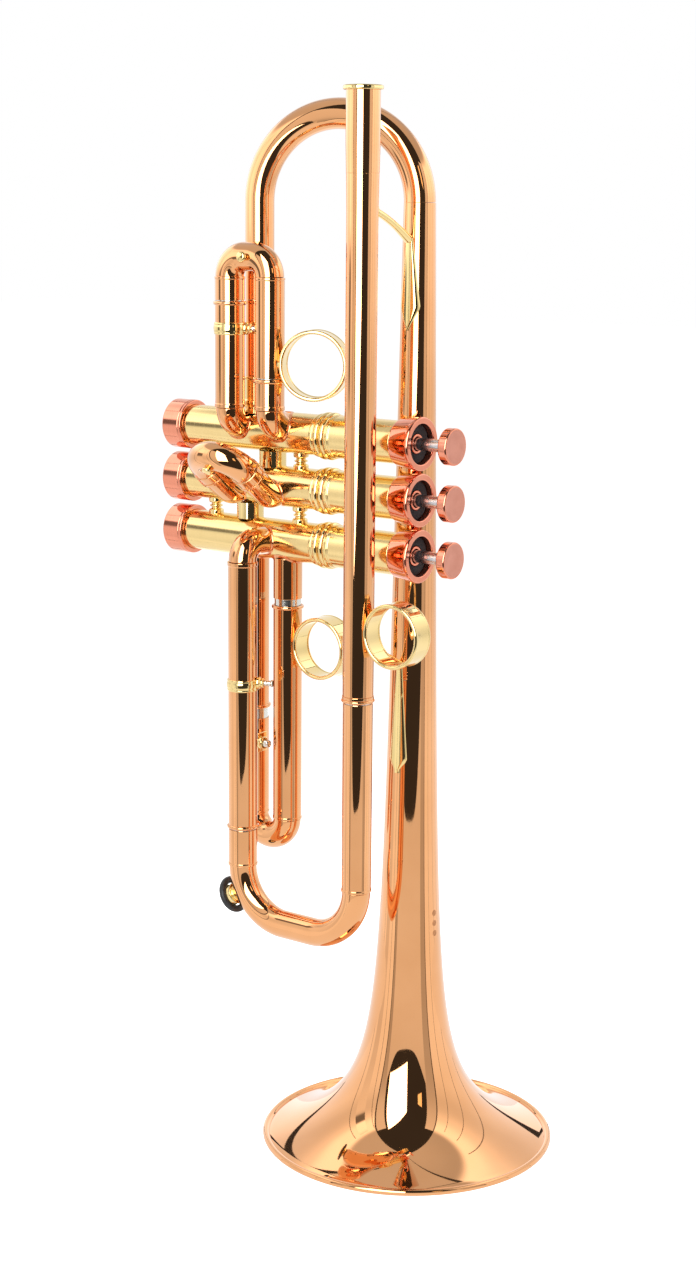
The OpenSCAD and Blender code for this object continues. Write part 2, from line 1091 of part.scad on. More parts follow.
bell_flare();
bell_stem();
bell_rim_wire();
bell_crook();
crook_ferrule();
leadpipe();
mouthpiece_receiver();
receiver_rim();
leadpipe_slide_tube();
lower_slide_sleeve();
lower_elbow();
fixed_end_rings();
leg_clamp_band();
clamp_screws();
valve_casing_1();
valve_casing_2();
valve_casing_3();
casing_bead_rings();
casing_posts();
casing_knuckles();
top_caps();
bottom_caps();
cap_felts();
valve_guides();
first_elbows();
first_fixed_tubes();
first_clamp();
second_legs();
third_fixed_tubes();
third_inner_tube();
upper_brace();
lower_brace();
pinky_ring();
valve_button_1();
valve_stem_1();
piston_1();
valve_spring_1();
valve_button_2();
valve_stem_2();
piston_2();
valve_spring_2();
valve_button_3();
valve_stem_3();
piston_3();
valve_spring_3();
tuning_bow();
tuning_sleeves();
tuning_inner_tube();
water_key_seat();
water_key_ring();
first_bow();
first_moving_tubes();
thumb_ring();
second_bow();
second_inner_tubes();
third_bow();
third_moving_tubes();
finger_ring();
third_key_body();
third_key_plunger();
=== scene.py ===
import bpy
import bmesh
import math
from mathutils import Matrix, Vector


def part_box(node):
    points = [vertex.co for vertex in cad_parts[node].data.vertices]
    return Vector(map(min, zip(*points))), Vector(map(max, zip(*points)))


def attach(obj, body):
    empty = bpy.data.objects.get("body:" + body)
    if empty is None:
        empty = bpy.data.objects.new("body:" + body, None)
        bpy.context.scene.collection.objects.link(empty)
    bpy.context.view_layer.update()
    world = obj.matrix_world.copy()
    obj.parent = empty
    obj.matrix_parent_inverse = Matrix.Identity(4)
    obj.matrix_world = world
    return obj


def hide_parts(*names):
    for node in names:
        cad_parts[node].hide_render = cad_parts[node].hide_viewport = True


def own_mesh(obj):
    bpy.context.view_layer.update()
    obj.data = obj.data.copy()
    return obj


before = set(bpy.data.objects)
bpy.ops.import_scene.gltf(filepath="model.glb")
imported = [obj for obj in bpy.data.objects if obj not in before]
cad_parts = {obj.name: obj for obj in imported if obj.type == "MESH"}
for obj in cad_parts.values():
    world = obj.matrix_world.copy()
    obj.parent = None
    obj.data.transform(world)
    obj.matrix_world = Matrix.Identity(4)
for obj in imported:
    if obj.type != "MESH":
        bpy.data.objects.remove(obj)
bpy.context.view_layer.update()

MM = 0.001


def centre(node):
    lo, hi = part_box(node)
    return [(a + b) * 500 for a, b in zip(lo, hi)]


def low(node):
    return [v * 1000 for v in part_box(node)[0]]


def high(node):
    return [v * 1000 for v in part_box(node)[1]]


# ------------------------------------------------------------------ materials

def mat_new(name):
    m = bpy.data.materials.new(name)
    m.use_nodes = True
    nt = m.node_tree
    nt.nodes.clear()
    out = nt.nodes.new("ShaderNodeOutputMaterial")
    b = nt.nodes.new("ShaderNodeBsdfPrincipled")
    nt.links.new(b.outputs[0], out.inputs[0])
    return m, nt, b


def ramp(nt, fac, stops):
    r = nt.nodes.new("ShaderNodeValToRGB")
    el = r.color_ramp.elements
    while len(el) < len(stops):
        el.new(0.5)
    for e, (p, c) in zip(el, stops):
        e.position = p
        e.color = (*c, 1) if len(c) == 3 else c
    nt.links.new(fac, r.inputs[0])
    return r.outputs[0]


def noise(nt, scale, detail=3.0, rough=0.5, stretch=None):
    tc = nt.nodes.new("ShaderNodeTexCoord")
    mp = nt.nodes.new("ShaderNodeMapping")
    nt.links.new(tc.outputs["Object"], mp.inputs[0])
    if stretch:
        mp.inputs["Scale"].default_value = stretch
    n = nt.nodes.new("ShaderNodeTexNoise")
    n.inputs["Scale"].default_value = scale
    n.inputs["Detail"].default_value = detail
    n.inputs["Roughness"].default_value = rough
    nt.links.new(mp.outputs[0], n.inputs["Vector"])
    return n.outputs[0]


def remap(nt, src, a, b, c, d):
    n = nt.nodes.new("ShaderNodeMapRange")
    for i, v in zip((1, 2, 3, 4), (a, b, c, d)):
        n.inputs[i].default_value = v
    nt.links.new(src, n.inputs[0])
    return n.outputs[0]


def bump(nt, b, src, strength, dist=0.00002):
    n = nt.nodes.new("ShaderNodeBump")
    n.inputs["Strength"].default_value = strength
    n.inputs["Distance"].default_value = dist
    nt.links.new(src, n.inputs["Height"])
    nt.links.new(n.outputs[0], b.inputs["Normal"])


def polished(name, dark, light, rough=(0.03, 0.07), coat=0.25, bumpy=0.12, scale=260.0):
    """Lacquered, hand-polished metal: slow colour drift, faint ripple, uneven gloss."""
    m, nt, b = mat_new(name)
    b.inputs["Metallic"].default_value = 1.0
    b.inputs["Coat Weight"].default_value = coat
    b.inputs["Coat Roughness"].default_value = 0.03
    slow = noise(nt, 45.0, 2.0, 0.5)
    nt.links.new(ramp(nt, slow, [(0.35, dark), (0.65, light)]), b.inputs["Base Color"])
    fine = noise(nt, scale * 4, 4.0, 0.6)
    nt.links.new(remap(nt, fine, 0.3, 0.7, *rough), b.inputs["Roughness"])
    bump(nt, b, noise(nt, scale, 2.0, 0.4), bumpy)
    return m


def brushed(name, dark, light, axis, rough=(0.2, 0.3), strength=0.2, aniso=0.5):
    """Lathe-brushed metal: fine scratches run round the given axis."""
    m, nt, b = mat_new(name)
    b.inputs["Metallic"].default_value = 1.0
    b.inputs["Coat Weight"].default_value = 0.15
    b.inputs["Coat Roughness"].default_value = 0.08
    b.inputs["Anisotropic"].default_value = aniso
    st = [0.03, 0.03, 0.03]
    st["XYZ".index(axis)] = 1.0
    lines = noise(nt, 5200.0, 3.0, 0.65, stretch=tuple(st))
    nt.links.new(ramp(nt, lines, [(0.3, dark), (0.7, light)]), b.inputs["Base Color"])
    nt.links.new(remap(nt, lines, 0.3, 0.7, *rough), b.inputs["Roughness"])
    tan = nt.nodes.new("ShaderNodeTangent")
    tan.direction_type = "RADIAL"
    tan.axis = axis
    nt.links.new(tan.outputs[0], b.inputs["Tangent"])
    bump(nt, b, lines, strength, 0.00001)
    return m


# lacquered copper and brass of the tubes, then the parts in other finishes
COPPER = polished("copper_lacquer", (0.83, 0.385, 0.145), (0.87, 0.415, 0.165), rough=(0.02, 0.05),
    coat=1.0, bumpy=0.05)
COPPER_RED = polished("copper_seam", (0.72, 0.26, 0.11), (0.85, 0.38, 0.18), rough=(0.06, 0.14), bumpy=0.3)
BRASS = polished("brass_polished", (0.86, 0.64, 0.26), (0.92, 0.70, 0.32), rough=(0.03, 0.08), coat=0.5)
BRASS_BRUSHED = brushed("brass_brushed_casing", (0.84, 0.61, 0.26), (0.92, 0.69, 0.32), "X",
    (0.11, 0.18), 0.08)
CAP = brushed("cap_copper", (0.80, 0.28, 0.17), (0.86, 0.33, 0.21), "X", (0.06, 0.12), 0.05, 0.3)
CAP_FACE = brushed("cap_copper_face", (0.66, 0.27, 0.19), (0.74, 0.33, 0.24), "X", (0.3, 0.42), 0.08, 0.2)
NICKEL = brushed("nickel_silver", (0.66, 0.65, 0.60), (0.80, 0.79, 0.74), "Z", (0.12, 0.2), 0.12, 0.3)
ALU = brushed("stem_aluminium", (0.62, 0.63, 0.66), (0.80, 0.81, 0.84), "X", (0.2, 0.32), 0.2, 0.5)
STEEL = polished("spring_steel", (0.5, 0.5, 0.5), (0.66, 0.66, 0.65), rough=(0.15, 0.3))
PISTON = brushed("piston_monel", (0.62, 0.60, 0.56), (0.76, 0.75, 0.71), "X", (0.2, 0.3), 0.15, 0.5)

ETCH, _nt, _b = mat_new("etched_copper")
_b.inputs["Metallic"].default_value = 1.0
_tone = ramp(_nt, noise(_nt, 2500.0, 3.0), [(0.3, (0.42, 0.19, 0.08)), (0.7, (0.66, 0.32, 0.15))])
_nt.links.new(_tone, _b.inputs["Base Color"])
_nt.links.new(remap(_nt, noise(_nt, 3000.0, 2.0), 0.3, 0.7, 0.35, 0.6), _b.inputs["Roughness"])

FELT, _nt, _b = mat_new("black_felt")
_b.inputs["Sheen Weight"].default_value = 0.12
_b.inputs["Sheen Roughness"].default_value = 0.5
_tone = ramp(_nt, noise(_nt, 1800.0, 5.0, 0.7), [(0.3, (0.004, 0.003, 0.004)),
    (0.7, (0.018, 0.014, 0.016))])
_nt.links.new(_tone, _b.inputs["Base Color"])
_b.inputs["Roughness"].default_value = 0.95
bump(_nt, _b, noise(_nt, 2600.0, 4.0, 0.8), 0.9, 0.0003)

RUBBER, _nt, _b = mat_new("black_rubber")
_tone = ramp(_nt, noise(_nt, 700.0, 3.0), [(0.3, (0.006, 0.006, 0.007)), (0.7, (0.02, 0.02, 0.021))])
_nt.links.new(_tone, _b.inputs["Base Color"])
_nt.links.new(remap(_nt, noise(_nt, 1400.0, 3.0), 0.3, 0.7, 0.32, 0.5), _b.inputs["Roughness"])
bump(_nt, _b, noise(_nt, 2200.0, 3.0), 0.25, 0.00005)

# ------------------------------------------------------------------ mesh makers


def finish_mesh(name, bm, mat, body, nodes=(), angle=38, slot=None, mats=()):
    """Turns bm into a piece that rides on body and stands in for the CAD nodes named."""
    bmesh.ops.remove_doubles(bm, verts=bm.verts, dist=1e-7)
    bmesh.ops.recalc_face_normals(bm, faces=bm.faces)
    me = bpy.data.meshes.new(name)
    bm.to_mesh(me)
    bm.free()
    for m in (mat, *mats):
        me.materials.append(m)
    me.polygons.foreach_set("use_smooth", [True] * len(me.polygons))
    me.set_sharp_from_angle(angle=math.radians(angle))
    ob = bpy.data.objects.new(name, me)
    bpy.context.scene.collection.objects.link(ob)
    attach(ob, body)
    for n in nodes:
        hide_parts(n)
    return ob


AXES = {
    "Z": Matrix.Identity(3),
    "X": Matrix(((0, 0, 1), (0, 1, 0), (-1, 0, 0))),
    "Y": Matrix(((1, 0, 0), (0, 0, -1), (0, 1, 0))),
}


def lathe_into(bm, prof, at, axis="Z", seg=96, closed=True):
    """Turns a profile of (radius, height) points, in mm, about an axis through at."""
    rot = AXES[axis] if isinstance(axis, str) else axis
    rings = []
    for r, h in prof:
        ring = []
        for i in range(seg):
            a = math.radians(360 * i / seg)
            p = rot @ Vector((r * math.cos(a), r * math.sin(a), h)) + Vector(at)
            ring.append(bm.verts.new(p * MM))
        rings.append(ring)
    m = len(prof)
    for j in range(m if closed else m - 1):
        a, b = rings[j], rings[(j + 1) % m]
        for i in range(seg):
            k = (i + 1) % seg
            bm.faces.new((a[i], a[k], b[k], b[i]))


def weld(bm):
    """Joins doubled points and drops faces with no area."""
    bmesh.ops.remove_doubles(bm, verts=bm.verts, dist=2e-7)
    bmesh.ops.dissolve_degenerate(bm, edges=bm.edges, dist=1e-8)


def lathe(name, prof, at, axis, mat, body, nodes=(), seg=96, closed=True, **kw):
    bm = bmesh.new()
    lathe_into(bm, prof, at, axis, seg, closed)
    weld(bm)
    return finish_mesh(name, bm, mat, body, nodes, **kw)


def turned(name, parts, mat, body, nodes=(), axis="Z", seg=96, **kw):
    """One piece from several lathes, each a (profile, centre) pair, about parallel axes."""
    bm = bmesh.new()
    for prof, at in parts:
        lathe_into(bm, prof, at, axis, seg)
    weld(bm)
    return finish_mesh(name, bm, mat, body, nodes, **kw)


def rounded(pts, r=0.25, steps=3, closed=True):
    """Rounds the corners of a profile; r is one radius or one for each point."""
    out = []
    n = len(pts)
    for i, p in enumerate(pts):
        if not closed and i in (0, n - 1):
            out.append(p)
            continue
        a = Vector(pts[i - 1]) - Vector(p)
        b = Vector(pts[(i + 1) % n]) - Vector(p)
        rr = r[i] if isinstance(r, (list, tuple)) else r
        t = min(rr, a.length * 0.45, b.length * 0.45)
        if t < 0.01:
            out.append(p)
            continue
        A = Vector(p) + a.normalized() * t
        B = Vector(p) + b.normalized() * t
        hold = [(A, a), (B, b)]
        near = [tuple(Vector(p) + v.normalized() * min(t + 0.12, v.length * 0.48)) for _, v in hold]
        out.append(near[0])
        for s in range(steps + 1):
            u = s / steps
            q = A * (1 - u) ** 2 + Vector(p) * 2 * u * (1 - u) + B * u * u
            out.append((q.x, q.y))
        out.append(near[1])
    return out


def ring_prof(z0, z1, ri, ro):
    """Half-round collar."""
    zc, hh = (z0 + z1) / 2, (z1 - z0) / 2
    pts = [(ri, z0)]
    for i in range(9):
        a = -math.pi / 2 + math.pi * i / 8
        pts.append((ri + 0.25 + (ro - ri - 0.25) * math.cos(a), zc + hh * math.sin(a)))
    pts.append((ri, z1))
    return pts


def sweep_into(bm, path, radii, seg=48, ri=None):
    """Round tube along a path in mm, with one radius for each point; ri makes it hollow."""
    pts = [Vector(p) for p in path]
    t0 = (pts[1] - pts[0]).normalized()
    ref = Vector((0, 0, 1)) if abs(t0.z) < 0.9 else Vector((1, 0, 0))
    u = t0.cross(ref).normalized()
    frames = []
    prev = t0
    for i, p in enumerate(pts):
        t = (pts[min(i + 1, len(pts) - 1)] - pts[max(i - 1, 0)]).normalized()
        q = prev.rotation_difference(t)
        u = q @ u
        u = (u - t * u.dot(t)).normalized()
        frames.append((p, u, t.cross(u)))
        prev = t

    def ring(f, r):
        p, a, b = f
        turns = [2 * math.pi * k / seg for k in range(seg)]
        return [bm.verts.new((p + a * (r * math.cos(t)) + b * (r * math.sin(t))) * MM) for t in turns]

    outer = [ring(f, r) for f, r in zip(frames, radii)]
    loops = [outer]
    if ri is not None:
        inner = [ring(f, ri) for f in frames]
        loops.append(inner)
    for lp in loops:
        for a, b in zip(lp, lp[1:]):
            for k in range(seg):
                j = (k + 1) % seg
                bm.faces.new((a[k], a[j], b[j], b[k]))
    for e in (0, -1):
        if ri is None:
            bm.faces.new(outer[e])
        else:
            for k in range(seg):
                j = (k + 1) % seg
                bm.faces.new((outer[e][k], outer[e][j], inner[e][j], inner[e][k]))


def arc_pts(c, ax, ay, R, a0, a1, n):
    """Points on an arc about c, from angle a0 to a1 in degrees, turning from ax towards ay."""
    c, ax, ay = Vector(c), Vector(ax).normalized(), Vector(ay).normalized()
    turns = [math.radians(a0 + (a1 - a0) * i / n) for i in range(n + 1)]
    return [c + ax * (R * math.cos(t)) + ay * (R * math.sin(t)) for t in turns]


def u_path(p, q, down, R, n=22):
    """U between p and q: two quarter bends of radius R and a straight between them."""
    p, q, d = Vector(p), Vector(q), Vector(down).normalized()
    w = (q - p).normalized()
    a = arc_pts(p + w * R, -w, d, R, 0, 90, n)
    b = arc_pts(q - w * R, d, w, R, 0, 90, n)
    if (b[0] - a[-1]).length < 0.05:
        b = b[1:]
    return a + b


def soft_ends(path, r, cut=0.2):
    """Path and radii whose two ends are slightly drawn in, so a joint shows as a fine line."""
    p = [Vector(v) for v in path]
    d0, d1 = (p[1] - p[0]).normalized(), (p[-2] - p[-1]).normalized()
    rr = r if isinstance(r, list) else [r] * len(p)
    pts = [p[0], p[0] + d0 * cut * 0.4, p[0] + d0 * cut, p[0] + d0 * (cut + 0.12)] + p[1:-1]
    pts += [p[-1] + d1 * (cut + 0.12), p[-1] + d1 * cut, p[-1] + d1 * cut * 0.4, p[-1]]
    rad = [rr[0] - cut, rr[0] - cut * 0.3, rr[0], rr[0]] + rr[1:-1] + [rr[-1], rr[-1],
        rr[-1] - cut * 0.3, rr[-1] - cut]
    return pts, rad


def tube(name, path, r, mat, body, nodes=(), ri=None, seg=64, cut=0.2, **kw):
    bm = bmesh.new()
    pts, rad = soft_ends(path, r, cut) if cut else (path, r if isinstance(r, list) else [r] * len(path))
    sweep_into(bm, pts, rad, seg, ri)
    return finish_mesh(name, bm, mat, body, nodes, **kw)


def line(a, b, n=2):
    """n points from a to b."""
    a, b = Vector(a), Vector(b)
    return [a + (b - a) * (i / (n - 1)) for i in range(n)]


def seam(name, tube_p, tube_d, tr, axis_yz, cr, mat, body, w=0.9):
    """Solder fillet where a tube of radius tr meets a casing of radius cr that lies along X."""
    P, D = Vector(tube_p), Vector(tube_d).normalized()
    ref = Vector((1, 0, 0))
    u = (ref - D * ref.dot(D)).normalized()
    v = D.cross(u)
    cy, cz = axis_yz
    bm = bmesh.new()
    N = 72
    rows = []
    for k in range(N):
        a = 2 * math.pi * k / N
        q = P + (u * math.cos(a) + v * math.sin(a)) * tr
        oy, oz = q.y - cy, q.z - cz
        A = D.y ** 2 + D.z ** 2
        B = 2 * (oy * D.y + oz * D.z)
        C = oy * oy + oz * oz - cr * cr
        disc = max(B * B - 4 * A * C, 0.0)
        t = (-B + math.sqrt(disc)) / (2 * A)
        s = q + D * t
        nr = u * math.cos(a) + v * math.sin(a)
        nc = Vector((0, s.y - cy, s.z - cz)).normalized()
        side = nc.cross(nr)
        if side.length < 1e-4:
            side = Vector((1, 0, 0))
        side.normalize()
        along = side.cross(nc)
        if along.dot(nr) < 0:
            along = -along
        ring = []
        for j in range(5):
            f = j / 4
            e = 1 - math.cos(f * math.pi / 2)
            g = 1 - math.sin(f * math.pi / 2)
            ring.append(bm.verts.new((s + along * (w * g) + D * (w * e) + nr * 0.03 + nc * 0.02) * MM))
        ring.append(bm.verts.new((s - nr * 0.4 + D * w) * MM))
        ring.append(bm.verts.new((s - nc * 0.4) * MM))
        rows.append(ring)
    for k in range(N):
        a, b = rows[k], rows[(k + 1) % N]
        for j in range(7):
            bm.faces.new((a[j], b[j], b[(j + 1) % 7], a[(j + 1) % 7]))
    return finish_mesh(name, bm, mat, body)


# ------------------------------------------------------------------ radii and heights, mm

CR = 9.29          # valve casing
BEND = 6.4         # bends that meet a casing, and the bows in the frame
BOW = 6.45         # slide bows as drawn here
SLEEVE = 6.71      # outside of the slides' sleeves
SLEEVE_IN = 6.22
LIP = 6.9          # thicker end of a sleeve
GUIDE = 6.18       # outside of the nickel tubes that run in the sleeves
GUIDE_IN = 5.84
COLLAR = 7.5       # half-round end rings
FERRULE = 7.1      # second slide's ferrules
TUNING_R = 24.5    # bend of the tuning slide's bow
CROOK_END = 6.6    # crook where it enters the first casing
TAIL = 7.0         # bell's narrow end
CONE = 0.0157      # how fast the bell widens over its length
FLARE_H = 44       # height over which the flare opens
FLARE_POWER = 2.62
BEAD = 1.6         # bell's rolled rim
SUNK = 1.2         # how deep a post stands in its casing


def pipe(ri, ro, z0, z1, soft=0.15, steps=2):
    """Profile of a plain tube from z0 to z1."""
    return rounded([(ri, z0), (ro, z0), (ro, z1), (ri, z1)], soft, steps)


def sleeve(lip_z, end_z, lip_h, ri=SLEEVE_IN, lip=LIP):
    """Profile of a slide sleeve from its thicker lip at lip_z to end_z, above or below it."""
    way = 1 if end_z > lip_z else -1
    pts = [(ri, lip_z), (lip, lip_z), (lip, lip_z + way * lip_h), (SLEEVE, lip_z + way * (lip_h + 0.2)),
           (SLEEVE, end_z), (ri, end_z)]
    return rounded(pts[::way], 0.15, 2)


# ------------------------------------------------------------------ dimensions from the frame

blo, bhi = low("bell_flare"), high("bell_flare")
RIM = (bhi[0] - blo[0]) / 2
BELL_TOP = high("bell_stem")[2]
# axes of the leadpipe, of the lower leg beside it and of the three valves
LX, LY = centre("leadpipe")[0], centre("leadpipe")[1]
WX = centre("lower_slide_sleeve")[0]
YV = centre("valve_casing_2")[1]
ZV = [centre(f"valve_casing_{i}")[2] for i in (1, 2, 3)]
# left and right legs of the first, second and third slides; F1 is the first slide's plane
F1 = centre("first_fixed_tubes")[1]
FXL = low("first_bow")[0] + BEND
FXR = high("first_bow")[0] - BEND
SXL = low("second_bow")[0] + FERRULE
SXR = high("second_bow")[0] - FERRULE
TXL = low("third_bow")[0] + BEND
TXR = high("third_bow")[0] - BEND
# heights where the bows of the third, tuning and first slides begin
TZ = high("third_bow")[2]
TUN = high("tuning_bow")[2]
FZ = low("first_bow")[2]
CX = low("bell_crook")[0] + CROOK_END
TILT = math.radians(36)


def bell_r(z):
    """Radius of the bell at height z: a slender cone and a flare that opens towards the rim."""
    k = RIM - 1.0 - TAIL - CONE * BELL_TOP
    return TAIL + CONE * (BELL_TOP - z) + k * (FLARE_H / (z - BEAD + FLARE_H)) ** FLARE_POWER


# ------------------------------------------------------------------ bell

prof = []
STEPS = 150
for i in range(STEPS, 0, -1):
    t = i / STEPS
    z = BEAD + (BELL_TOP - BEAD) * t * t * (1.6 - 0.6 * t)
    prof.append((bell_r(z), z))
# rolled rim: the sheet dips into a small groove, then rolls round the wire
rim = []
for i in range(19):
    a = math.radians(150 - 330 * i / 18)
    rim.append((RIM - BEAD - 0.01 + BEAD * math.cos(a), BEAD + 0.01 + BEAD * math.sin(a)))
under = [(bell_r(z) - 0.6, z) for r, z in prof[::-1]]
prof_out = [p for p in prof if p[0] < RIM - 2 * BEAD - 0.4] + [(RIM - 2 * BEAD - 0.05, BEAD + 0.55)]
prof_in = [p for p in under if p[0] < RIM - 2 * BEAD - 0.2]
lathe("bell_with_flare", prof_out + rim + prof_in, (0, 0, 0), "Z", COPPER, "horn",
    ["bell_flare", "bell_stem"], seg=220, slot="copper_lacquer", angle=50)

# three small etched discs on the side of the bell
bm = bmesh.new()
side = math.radians(-1.5)
for z in (112.6, 107.8, 103.0):
    r = bell_r(z)
    n = Vector((math.cos(side), math.sin(side), (bell_r(z - 1) - bell_r(z + 1)) / 2)).normalized()
    u = Vector((-math.sin(side), math.cos(side), 0))
    v = n.cross(u)
    c = Vector((r * math.cos(side), r * math.sin(side), z))
    rims = []
    for rr, hh in ((1.4, -0.25), (1.4, 0.03), (1.25, 0.06), (0.25, 0.06)):
        ring = []
        for t in range(32):
            du, dv = rr * math.cos(t * math.pi / 16), rr * math.sin(t * math.pi / 16)
            # each disc follows the bell's curve
            ring.append(bm.verts.new((c + u * du + v * dv + n * (hh - du ** 2 / (2 * r))) * MM))
        rims.append(ring)
    for p, q in zip(rims, rims[1:]):
        for t in range(32):
            bm.faces.new((p[t], p[(t + 1) % 32], q[(t + 1) % 32], q[t]))
    bm.faces.new(rims[0])
    bm.faces.new(rims[-1])
finish_mesh("bell_etched_dots", bm, ETCH, "horn", slot="copper_lacquer")

# ------------------------------------------------------------------ crook

w = Vector((CX, YV, 0))
R = w.length / 2
wd = w.normalized()
top = Vector((0, 0, BELL_TOP))
arc = arc_pts(top + wd * R, -wd, (0, 0, 1), R, 0, 180, 64)
rad = [7.05 - 0.45 * i / 64 for i in range(65)]
low_z = low("bell_crook")[2]
path = [top] + arc[1:] + line(arc[-1] - Vector((0, 0, 5)), (CX, YV, low_z), 4)
rad = rad + [CROOK_END] * 4
tube("bell_crook_tube", path, rad, COPPER, "horn", ["bell_crook"], ri=5.9, seg=72,
    slot="copper_lacquer", cut=0.12)
f0 = low("crook_ferrule")[2]
profile = [(5.9, f0 + 0.2), (6.9, f0 + 0.2), (6.9, f0 + 3.6), (7.35, f0 + 4.2), (7.35, f0 + 6.0),
    (6.95, f0 + 6.6), (6.95, f0 + 15.6), (7.25, f0 + 16), (7.25, f0 + 16.9), (5.9, f0 + 16.9)]
lathe("crook_tail_ferrule", rounded(profile, 0.25),
      (CX, YV, 0), "Z", BRASS, "horn", ["crook_ferrule"], slot="brass_polished")
seam("crook_tail_solder", (CX, YV, ZV[0]), (0, 0, 1), 6.95, (YV, ZV[0]), CR, BRASS, "horn", 0.9)

# ------------------------------------------------------------------ leadpipe

z0 = low("leadpipe")[2]
z1 = high("leadpipe")[2]
profile = [(6.2, z0), (6.87, z0), (6.87, 430), (7.08, z1), (5.0, z1)]
lathe("leadpipe_tube", rounded(profile, 0.15, 2), (LX, LY, 0), "Z", COPPER, "horn", ["leadpipe"],
    slot="copper_lacquer")
rt = high("mouthpiece_receiver")[2]
profile = [(5.0, z1), (7.1, z1), (7.12, z1 + 0.1), (7.35, 458), (7.35, rt - 2), (6.6, rt - 2),
    (6.6, rt - 0.3), (6.1, rt - 0.05), (5.45, rt - 1), (5.45, 456), (5.0, 452)]
lathe("receiver_socket", rounded(profile, 0.1, 2),
      (LX, LY, 0), "Z", COPPER, "horn", ["mouthpiece_receiver"], slot="copper_lacquer")
profile = [(6.62, rt - 2), (8.35, rt - 2), (8.6, rt - 1.5), (8.6, rt - 0.5), (8.1, rt), (6.62, rt - 0.1)]
lathe("receiver_rim_ring", rounded(profile, 0.3), (LX, LY, 0), "Z", BRASS, "horn", ["receiver_rim"],
    slot="brass_polished")

# fixed sleeves of the lower leg
s0, s1 = low("lower_slide_sleeve")[2], high("lower_slide_sleeve")[2]
profile = [(SLEEVE_IN, s0), (SLEEVE, s0), (SLEEVE, s1 - 1.8), (6.95, s1 - 1.6), (6.95, s1), (SLEEVE_IN, s1)]
lathe("lower_leg_sleeve", rounded(profile, 0.15, 2), (WX, LY, 0), "Z", COPPER, "horn",
    ["lower_slide_sleeve"], slot="copper_lacquer")
RE = ZV[2] - s1   # bend that brings the leg into the third casing
path = arc_pts((WX, LY + RE, s1), (0, -1, 0), (0, 0, 1), RE, 0, 90, 22)
path[0] = Vector((WX, LY, s1))
path.append(Vector((WX, YV - CR + 1.6, ZV[2])))
tube("lower_leg_elbow", path, BEND, COPPER, "horn", ["lower_elbow"], seg=64, slot="copper_lacquer")
seam("lower_leg_solder", (WX, YV, ZV[2]), (0, -1, 0), BEND, (YV, ZV[2]), CR, COPPER_RED, "horn", 1.0)

# end rings
turned("fixed_slide_rings", (
    (ring_prof(218.3, 219.9, 6.3, COLLAR), (LX, LY, 0)),
    (pipe(6.3, 7.15, 219.8, 221.1), (LX, LY, 0)),
    (ring_prof(s0 - 1.0, s0 + 0.8, 6.3, COLLAR), (WX, LY, 0)),
    (ring_prof(388.3, 390.1, 6.7, COLLAR), (FXL, F1, 0)),
    (ring_prof(354.6, 356.4, 6.7, COLLAR), (FXR, F1, 0)),
    (ring_prof(201.0, 202.8, 6.7, COLLAR), (TXL, YV, 0)),
), COPPER, "horn", ["fixed_end_rings"], slot="copper_lacquer")

# ------------------------------------------------------------------ valve casings

x0, x1 = low("valve_casing_1")[0], high("valve_casing_1")[0]
for i, z in enumerate(ZV):
    p = [(8.42, x0), (9.1, x0), (9.1, -113.5), (9.29, -113.2), (9.29, -38.4), (9.75, -38.2),
        (9.75, -35.8), (9.3, -35.8), (9.3, -30.2), (9.75, -30.2), (9.75, -27.6), (9.6, -27.4),
        (9.6, 5.0), (9.25, 5.3), (9.25, x1), (8.42, x1)]
    lathe(f"valve_casing_tube_{i + 1}", rounded(p, 0.18, 2), (0, YV, z), "X", BRASS_BRUSHED, "horn",
        [f"valve_casing_{i + 1}"], seg=128, slot="brass_brushed")
bm = bmesh.new()
for z in ZV:
    for xc in (-34.6, -31.4):
        pr = [(9.25 + 1.42 * math.sin(math.radians(a)), xc + 1.5 * math.cos(math.radians(a)))
            for a in range(0, 181, 12)]
        lathe_into(bm, pr, (0, YV, z), "X", 128)
    for xa, ra in ((-38.3, 9.85), (-29.4, 9.9)):
        pr = [(9.2, xa), (ra, xa), (9.95, xa + 0.7), (9.85, xa + 1.4), (9.2, xa + 1.4)]
        lathe_into(bm, rounded(pr, 0.2, 2), (0, YV, z), "X", 128)
weld(bm)
finish_mesh("casing_beads", bm, BRASS, "horn", ["casing_bead_rings"], slot="brass_polished")

# posts and knuckles between the casings
POST = [(3.5, 0), (3.5, 2.2), (3.3, 2.6), (2.5, 2.9), (2.1, 3.3), (2.3, 3.75), (3.0, 3.95), (3.0, 4.65),
    (2.3, 4.85), (2.1, 5.3), (2.5, 5.7), (3.3, 6.0), (3.5, 6.4), (3.5, 8.6)]
post = rounded([(0.01, 0)] + POST + [(0.01, 8.6)], 0.2, 2)
places = ((-49.8, ZV[1]), (-99.9, ZV[1]), (-50.3, ZV[2]), (-99.9, ZV[2]))
turned("turned_casing_posts", [(post, (x, YV, z + CR - SUNK)) for x, z in places], BRASS, "horn",
       ["casing_posts"], seg=40, slot="brass_polished")
knuckle = pipe(5.9, 6.3, 0.4, 7.9, 0.05, 1)
places = ((-66.2, ZV[1]), (-79.4, ZV[2]))
turned("casing_knuckle_tubes", [(knuckle, (x, YV, z + CR - SUNK)) for x, z in places], BRASS, "horn",
       ["casing_knuckles"], seg=64, slot="brass_polished")

# ------------------------------------------------------------------ caps

